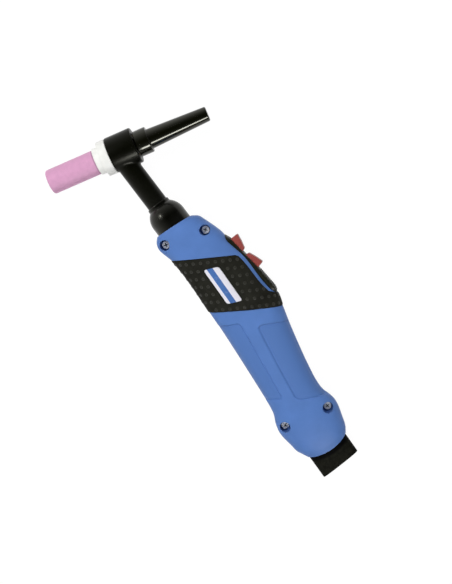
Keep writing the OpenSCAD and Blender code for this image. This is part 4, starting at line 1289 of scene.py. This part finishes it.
class TORCH_OT_head(bpy.types.Operator):
    """Build the moulded head with its neck, and the rubber boot"""

    bl_idname = "torch.head"
    bl_label = "Head and boot"

    def execute(self, context):
        sizes = context.scene.torch_sizes
        top = HEAD_UP + sizes.barrel_lip
        barrel = lathe("head", fillet([
            (0, -HEAD_DOWN, 0), (HEAD_R, -HEAD_DOWN, 1.0), (HEAD_R, top, 1.1), (0, top, 0)], 8),
            ON_HEAD)
        join(barrel, self.neck(sizes.neck_fillet))
        fit = 0.02
        for r, low, high, place, around in (
            (CORE_R + fit, -HEAD_DOWN - 1, HEAD_UP + 0.01, ON_HEAD, 96),
            (CORE_R - 1.4, 0, HEAD_UP + 1, ON_HEAD, 96),
            (SOCKET_R + fit, 0, SOCKET_L + fit, ON_NECK, 64),
            (TUBE_R + fit, 0, NECK_L + 1, ON_NECK, 64),
        ):
            cut(barrel, rod("room", r, low, high, place, around))
        finish(barrel, "head insulation", "torch", "head_insulation", "torch_body", angle=35)

        lip, ring, inside = BOOT_CENTRE - BOOT_R + 0.8, sizes.boot_seam, NECK_R + fit
        dome = [(BOOT_R * math.sin(a), BOOT_CENTRE + BOOT_R * math.cos(a))
                for a in np.radians(np.linspace(139, 90, 40))]
        profile = [(inside, lip)] + [(NECK_R + r, lip + s) for r, s in (
            (0.6, 0), (0.85, 0.25), (0.95 + ring * 0.4, 0.6), (0.95 + ring, 1.0),
            (0.95 + ring, 1.4), (0.95 + ring * 0.6, 1.8))]
        profile += [p for p in dome if p[1] > lip + 2.3]
        profile += [(BOOT_R, BOOT_END), (inside, BOOT_END)]
        boot = lathe("boot", profile, ON_NECK)
        finish(boot, "boot rubber", "torch", "boot_rubber", "neck_boot", angle=40)
        return {"FINISHED"}

    def neck(self, reach):
        """Neck cylinder that spreads into the barrel with a hollow fillet."""
        back = ON_HEAD.inverted() @ ON_NECK
        rings = [[] for _ in range(11)]
        for x, y in circle(NECK_R, 128):
            side = Vector((x, y, 0))
            near, far = 6.0, 20.0
            for _ in range(40):  # halves the span in which the neck leaves the barrel
                s = (near + far) / 2
                p = back @ (side + Vector((0, 0, s)))
                if math.hypot(p.x, p.y) < HEAD_R:
                    near = s
                else:
                    far = s
            foot = back @ (side + Vector((0, 0, near)))
            tip = back @ (side + Vector((0, 0, near + reach)))
            spread_to = back @ (side * (1 + reach / NECK_R) + Vector((0, 0, near - 1)))
            flat = Vector((spread_to.x, spread_to.y, 0)).normalized() * (HEAD_R - 0.05)
            z = min(max(spread_to.z, -HEAD_DOWN + 1.2), HEAD_UP - 1.6)
            edge = Vector((flat.x, flat.y, z))
            rings[0].append(ON_NECK @ (side + Vector((0, 0, NECK_L))))
            for ring, u in zip(rings[1:], np.linspace(0, 1, 9)):
                bend = tip * (1 - u) ** 2 + foot * 2 * u * (1 - u) + edge * u * u
                ring.append(ON_HEAD @ bend)
            rings[10].append(ON_HEAD @ (edge * 0.8))
        return loft("neck", rings)


class TORCH_OT_cap(bpy.types.Operator):
    """Build the screwed back cap with its collar and spigot"""

    bl_idname = "torch.cap"
    bl_label = "Back cap"

    def execute(self, context):
        foot = HEAD_UP + CAP_GAP
        top = foot + COLLAR_L
        end = top + CAP_L
        room = ELECTRODE_ROOM_R
        profile = fillet([
            (room, foot - SPIGOT_L, 0), (SPIGOT_R, foot - SPIGOT_L, 0.5), (SPIGOT_R, foot, 0),
            (COLLAR_R, foot, 0.7), (COLLAR_R, top, 0.9), (CAP_R + 0.3, top, 0),
            (CAP_R, top + 0.35, 0.3), (CAP_TIP_R, end, 1.1), (0, end, 0)], 8)
        blind = [(room, end - CAP_CROWN), (0, end - CAP_CROWN)]
        cap = lathe("back_cap_turned", profile[::-1] + blind, ON_HEAD)
        finish(cap, "cap phenolic", "cap", "cap_plastic", "back_cap", angle=30)
        return {"FINISHED"}


class TORCH_OT_nozzle(bpy.types.Operator):
    """Build the white gasket and the pink ceramic nozzle"""

    bl_idname = "torch.nozzle"
    bl_label = "Gasket and nozzle"

    def execute(self, context):
        seat, inner = -HEAD_DOWN, GASKET_BORE_R
        step = seat - GASKET_L
        foot = step - GASKET_STEP_L
        gasket = lathe("gasket_turned", fillet([
            (inner, seat, 0), (GASKET_R, seat, 0.6), (GASKET_R, step, 0.6),
            (GASKET_STEP_R, step, 0.25), (GASKET_STEP_R, foot, 0.4), (inner, foot, 0)], 6),
            ON_HEAD)
        finish(gasket, "white gasket", "gasket", "gasket_white", "nozzle_gasket")
        mouth, rear = foot - NOZZLE_L, foot + NOZZLE_NECK_L
        nozzle = lathe("nozzle_fired", fillet([
            (NOZZLE_THREAD_R, rear, 0), (NOZZLE_NECK_R, rear, 0.3), (NOZZLE_NECK_R, foot, 0),
            (NOZZLE_R, foot, 1.0), (NOZZLE_R, foot - 2, 0.1), (NOZZLE_R, mouth, 1.6),
            (NOZZLE_BORE_R, mouth, 0.8), (NOZZLE_BORE_R, NOZZLE_THREAD_END, 0),
            (NOZZLE_THREAD_R, NOZZLE_THREAD_END + 0.1, 0)], 8), ON_HEAD)
        # from_rim is the distance from the nozzle's rear rim towards its mouth; the nozzle's
        # material paints shade near the rim by it.
        back = np.array(ON_HEAD.col[2])[:3]
        keep_on_mesh(nozzle, "from_rim", foot - vertices_of(nozzle) @ back)
        finish(nozzle, "fired alumina", "nozzle", "pink_ceramic", "gas_nozzle")
        return {"FINISHED"}


class TORCH_OT_sleeve(bpy.types.Operator):
    """Build the oval cable sleeve with its cut end"""

    bl_idname = "torch.sleeve"
    bl_label = "Cable sleeve"

    def execute(self, context):
        a = np.radians(np.linspace(0, 360, 128, endpoint=False))

        def ring(inwards, s, share=0.0):
            """Oval at s, drawn in, and turned towards the cut end's slant by a share."""
            half = SLEEVE_T / 2 - SLEEVE_PINCH * smooth(s / SLEEVE_OUT) - inwards
            x, y = half * soft(np.cos(a)), (SLEEVE_H / 2 - inwards) * soft(np.sin(a))
            z = s + share * (x * math.tan(SLEEVE_SKEW) - y * math.tan(SLEEVE_CUT))
            return [tuple(ON_SLEEVE @ Vector(p)) for p in zip(x, y, z)]

        end, foot = SLEEVE_OUT - 0.05, -SLEEVE_IN
        rings = [ring(-SLEEVE_BEAD, foot + 0.2), ring(-SLEEVE_BEAD, foot + 2.8),
                 ring(0, foot + 3.2)]
        rings += [ring(0, s) for s in np.linspace(-8, 0, 6)]
        rings += [ring(0, s, s / end) for s in np.linspace(1.5, end - 0.8, 22)]
        rings += [ring(inwards, end - back, 1) for inwards, back in (
            (0.04, 0.3), (0.12, 0.08), (0.3, 0), (SLEEVE_WALL - 0.3, 0),
            (SLEEVE_WALL - 0.08, 0.15))]
        rings += [ring(SLEEVE_WALL, s, max(s, 0) / end) for s in np.linspace(end - 1, foot, 26)]
        rings += [ring(0, foot), ring(0.2 - SLEEVE_BEAD, foot)]
        rings = np.array(rings)
        n, m, _ = rings.shape
        faces = [(i * m + j, i * m + (j + 1) % m, (i + 1) % n * m + (j + 1) % m,
                  (i + 1) % n * m + j) for i in range(n) for j in range(m)]
        sleeve = settle(add_object("sleeve_hide", rings.reshape(-1, 3), faces))
        at = vertices_of(sleeve)
        # way_out is the distance out of the shell's rear rim; the sleeve's material paints the
        # rim's shadow by it.
        keep_on_mesh(sleeve, "way_out", at[:, 0] - bowed(HANDLE_END, at[:, 1]))
        finish(sleeve, "sleeve hide", "torch", "sleeve_rubber", "cable_sleeve", angle=40)
        return {"FINISHED"}


INNER = {
    "turned brass": ("head_core", "tail_fitting", "shell_inserts"),
    "turned copper": ("neck_tube", "collet_body", "collet"),
    "inner nylon": ("neck_clamp", "microswitch_front", "microswitch_rear"),
    "plunger nylon": ("plunger_front", "plunger_rear"),
    "seal rubber": ("cap_seal",),
    "zinc steel": ("key_pins", "sleeve_ring"),
    "board resin": ("switch_board",),
    "plug nylon": ("lead_plug",),
}


class TORCH_OT_inner(bpy.types.Operator):
    """Paint the working parts that stay as they are"""

    bl_idname = "torch.inner"
    bl_label = "Inner finishes"

    def execute(self, context):
        for paint, names in INNER.items():
            for name in names:
                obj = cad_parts[name]
                obj.data.materials.clear()
                obj.data.materials.append(palette()[paint])
                obj.modifiers.new("weld", "WELD").merge_threshold = TINY
                bevel(obj, 0.12, 2, 40).harden_normals = True
        return {"FINISHED"}


# ---------------------------------------------------------------- studio

# the view looks down on the torch's side, turned about the view's own axis
VIEW_RIGHT, VIEW_UP = Vector((0.543, 0.840, 0)), Vector((-0.840, 0.543, 0))
TARGET, EYE = (130.9, 11.1, 0), (101.2, 88.0, 745.5)
SENSOR, LENS_PER_HEIGHT = 36, 1000 / 584
# towards each lamp in the view's axes (right, up, out), its shape and its size in metres
LAMPS = {
    "key lamp": ((-0.71, 0.24, 0.66), "DISK", (0.12, 0.12)),
    "sky lamp": ((-0.12, 0.60, 0.79), "DISK", (0.30, 0.30)),
    "side lamp": ((0.22, -0.49, 0.84), "RECTANGLE", (0.28, 0.26)),
    "line lamp": ((0.352, -0.716, 0.60), "RECTANGLE", (0.20, 0.42)),
    "top lamp": ((-0.16, -0.10, 0.98), "DISK", (0.12, 0.12)),
}
LAMP_DISTANCE = 0.8
FLOOR = ((-1500, -1500), (1800, -1500), (1800, 1500), (-1500, 1500))


def ray_kinds(tree):
    """Outputs of the light path, and whether the eye sees a place straight or through glass."""
    ray = node(tree, "ShaderNodeLightPath").outputs
    return ray, maths(tree, "MAXIMUM", ray["Is Camera Ray"], ray["Is Transmission Ray"])


def white_surface(name, share_even):
    """Pale floor that reads white to the eye and still takes the torch's shadow."""
    mat, tree, bsdf = new_material(name)
    for socket, value in (("Base Color", (0.86, 0.86, 0.86, 1)), ("Roughness", 0.9),
                          ("Specular IOR Level", 0.1)):
        bsdf.inputs[socket].default_value = value
    glow = node(tree, "ShaderNodeEmission", {"Strength": 1.04})
    ray, straight = ray_kinds(tree)
    any_eye = maths(tree, "MAXIMUM", straight, ray["Is Glossy Ray"])
    share = maths(tree, "MULTIPLY", any_eye, share_even)
    mix = node(tree, "ShaderNodeMixShader", {"Fac": share, 1: bsdf.outputs[0], 2: glow.outputs[0]})
    tree.links.new(mix.outputs[0], tree.nodes["Material Output"].inputs["Surface"])
    return mat


def studio_world(ambient, overhead):
    """Even light all round: white to the eye, and in the gloss white walls under a dim ceiling."""
    world = bpy.data.worlds.new("studio")
    bpy.context.scene.world = world
    world.use_nodes = True
    tree = world.node_tree
    place = node(tree, "ShaderNodeTexCoord").outputs["Generated"]
    side = node(tree, "ShaderNodeVectorMath", {0: place, 1: VIEW_RIGHT},
                operation="DOT_PRODUCT").outputs["Value"]
    # the walls fade towards the right of the view, and towards the ceiling
    walls = maths(tree, "MULTIPLY", spread(tree, side, (-0.3, 0.6), (1, 0.1)),
                  spread(tree, split(tree, place)["Z"], (0.15, 1), (1, overhead)))
    ray, straight = ray_kinds(tree)
    in_gloss = blend(tree, ray["Is Glossy Ray"], ambient, walls, "FLOAT")
    even = tree.nodes["Background"]
    even.inputs["Color"].default_value = (1, 1, 1, 1)
    tree.links.new(blend(tree, straight, in_gloss, 1, "FLOAT"), even.inputs["Strength"])


def placed(at, x, z):
    """Matrix of an object at a point, from two of its axes."""
    return Matrix.Translation(at) @ Matrix((x, z.cross(x), z)).transposed().to_4x4()


class TORCH_OT_studio(bpy.types.Operator):
    """Set up the floor, the soft lights and the camera"""

    bl_idname = "torch.studio"
    bl_label = "Studio"

    def execute(self, context):
        scene = context.scene
        scene.view_settings.view_transform = "Standard"
        look = scene.torch_finishes
        studio_world(look.ambient, look.overhead)
        z = CAD_BOX[0][2] / MM - 0.02
        floor = add_object("floor", [(x, y, z) for x, y in FLOOR], [(0, 1, 2, 3)])
        floor.data.materials.append(white_surface("studio floor", look.floor_white))

        target, eye = Vector(TARGET) * MM, Vector(EYE) * MM
        for name, ((right, up, out), shape, extent) in LAMPS.items():
            lamp = bpy.data.lights.new(name, "AREA")
            lamp.shape = shape
            lamp.size, lamp.size_y = extent
            lamp.energy = getattr(look, name.replace(" ", "_"))
            obj = bpy.data.objects.new(name, lamp)
            obj.visible_glossy = name in ("key lamp", "line lamp")
            obj.visible_diffuse = name != "line lamp"
            scene.collection.objects.link(obj)
            aim = (VIEW_RIGHT * right + VIEW_UP * up + Vector((0, 0, out))).normalized()
            across = aim.cross(ON_HEAD.col[2].to_3d()).normalized()
            obj.matrix_world = placed(target + aim * LAMP_DISTANCE, across, aim)

        camera = bpy.data.cameras.new("camera")
        camera.sensor_width = SENSOR
        camera.lens = SENSOR * LENS_PER_HEIGHT
        camera.clip_start, camera.clip_end = 0.01, 20
        view = bpy.data.objects.new("camera", camera)
        scene.collection.objects.link(view)
        back = (eye - target).normalized()
        view.matrix_world = placed(eye, VIEW_UP.cross(back).normalized(), back)
        scene.camera = view
        return {"FINISHED"}


# ---------------------------------------------------------------- panel

PIECES = (
    TORCH_OT_shells,
    TORCH_OT_grips,
    TORCH_OT_plate,
    TORCH_OT_screws,
    TORCH_OT_switch,
    TORCH_OT_head,
    TORCH_OT_cap,
    TORCH_OT_nozzle,
    TORCH_OT_sleeve,
    TORCH_OT_inner,
    TORCH_OT_studio,
)


class TORCH_PT_panel(bpy.types.Panel):
    """Lists the pieces, their sizes and their colours"""

    bl_idname = "TORCH_PT_panel"
    bl_label = "TIG torch"
    bl_space_type = "VIEW_3D"
    bl_region_type = "UI"
    bl_category = "Torch"

    def draw(self, context):
        for group in (context.scene.torch_sizes, context.scene.torch_finishes):
            box = self.layout.box()
            for name in group.__annotations__:
                box.prop(group, name)
        for piece in PIECES:
            self.layout.operator(piece.bl_idname)


CLASSES = (TorchSizes, TorchFinishes, *PIECES, TORCH_PT_panel)


def register():
    for cls in CLASSES:
        bpy.utils.register_class(cls)
    bpy.types.Scene.torch_sizes = PointerProperty(type=TorchSizes)
    bpy.types.Scene.torch_finishes = PointerProperty(type=TorchFinishes)


def unregister():
    del bpy.types.Scene.torch_finishes
    del bpy.types.Scene.torch_sizes
    for cls in reversed(CLASSES):
        bpy.utils.unregister_class(cls)


def main():
    register()
    for piece in PIECES:
        family, name = piece.bl_idname.split(".")
        getattr(getattr(bpy.ops, family), name)()


if __name__ == "__main__":
    main()
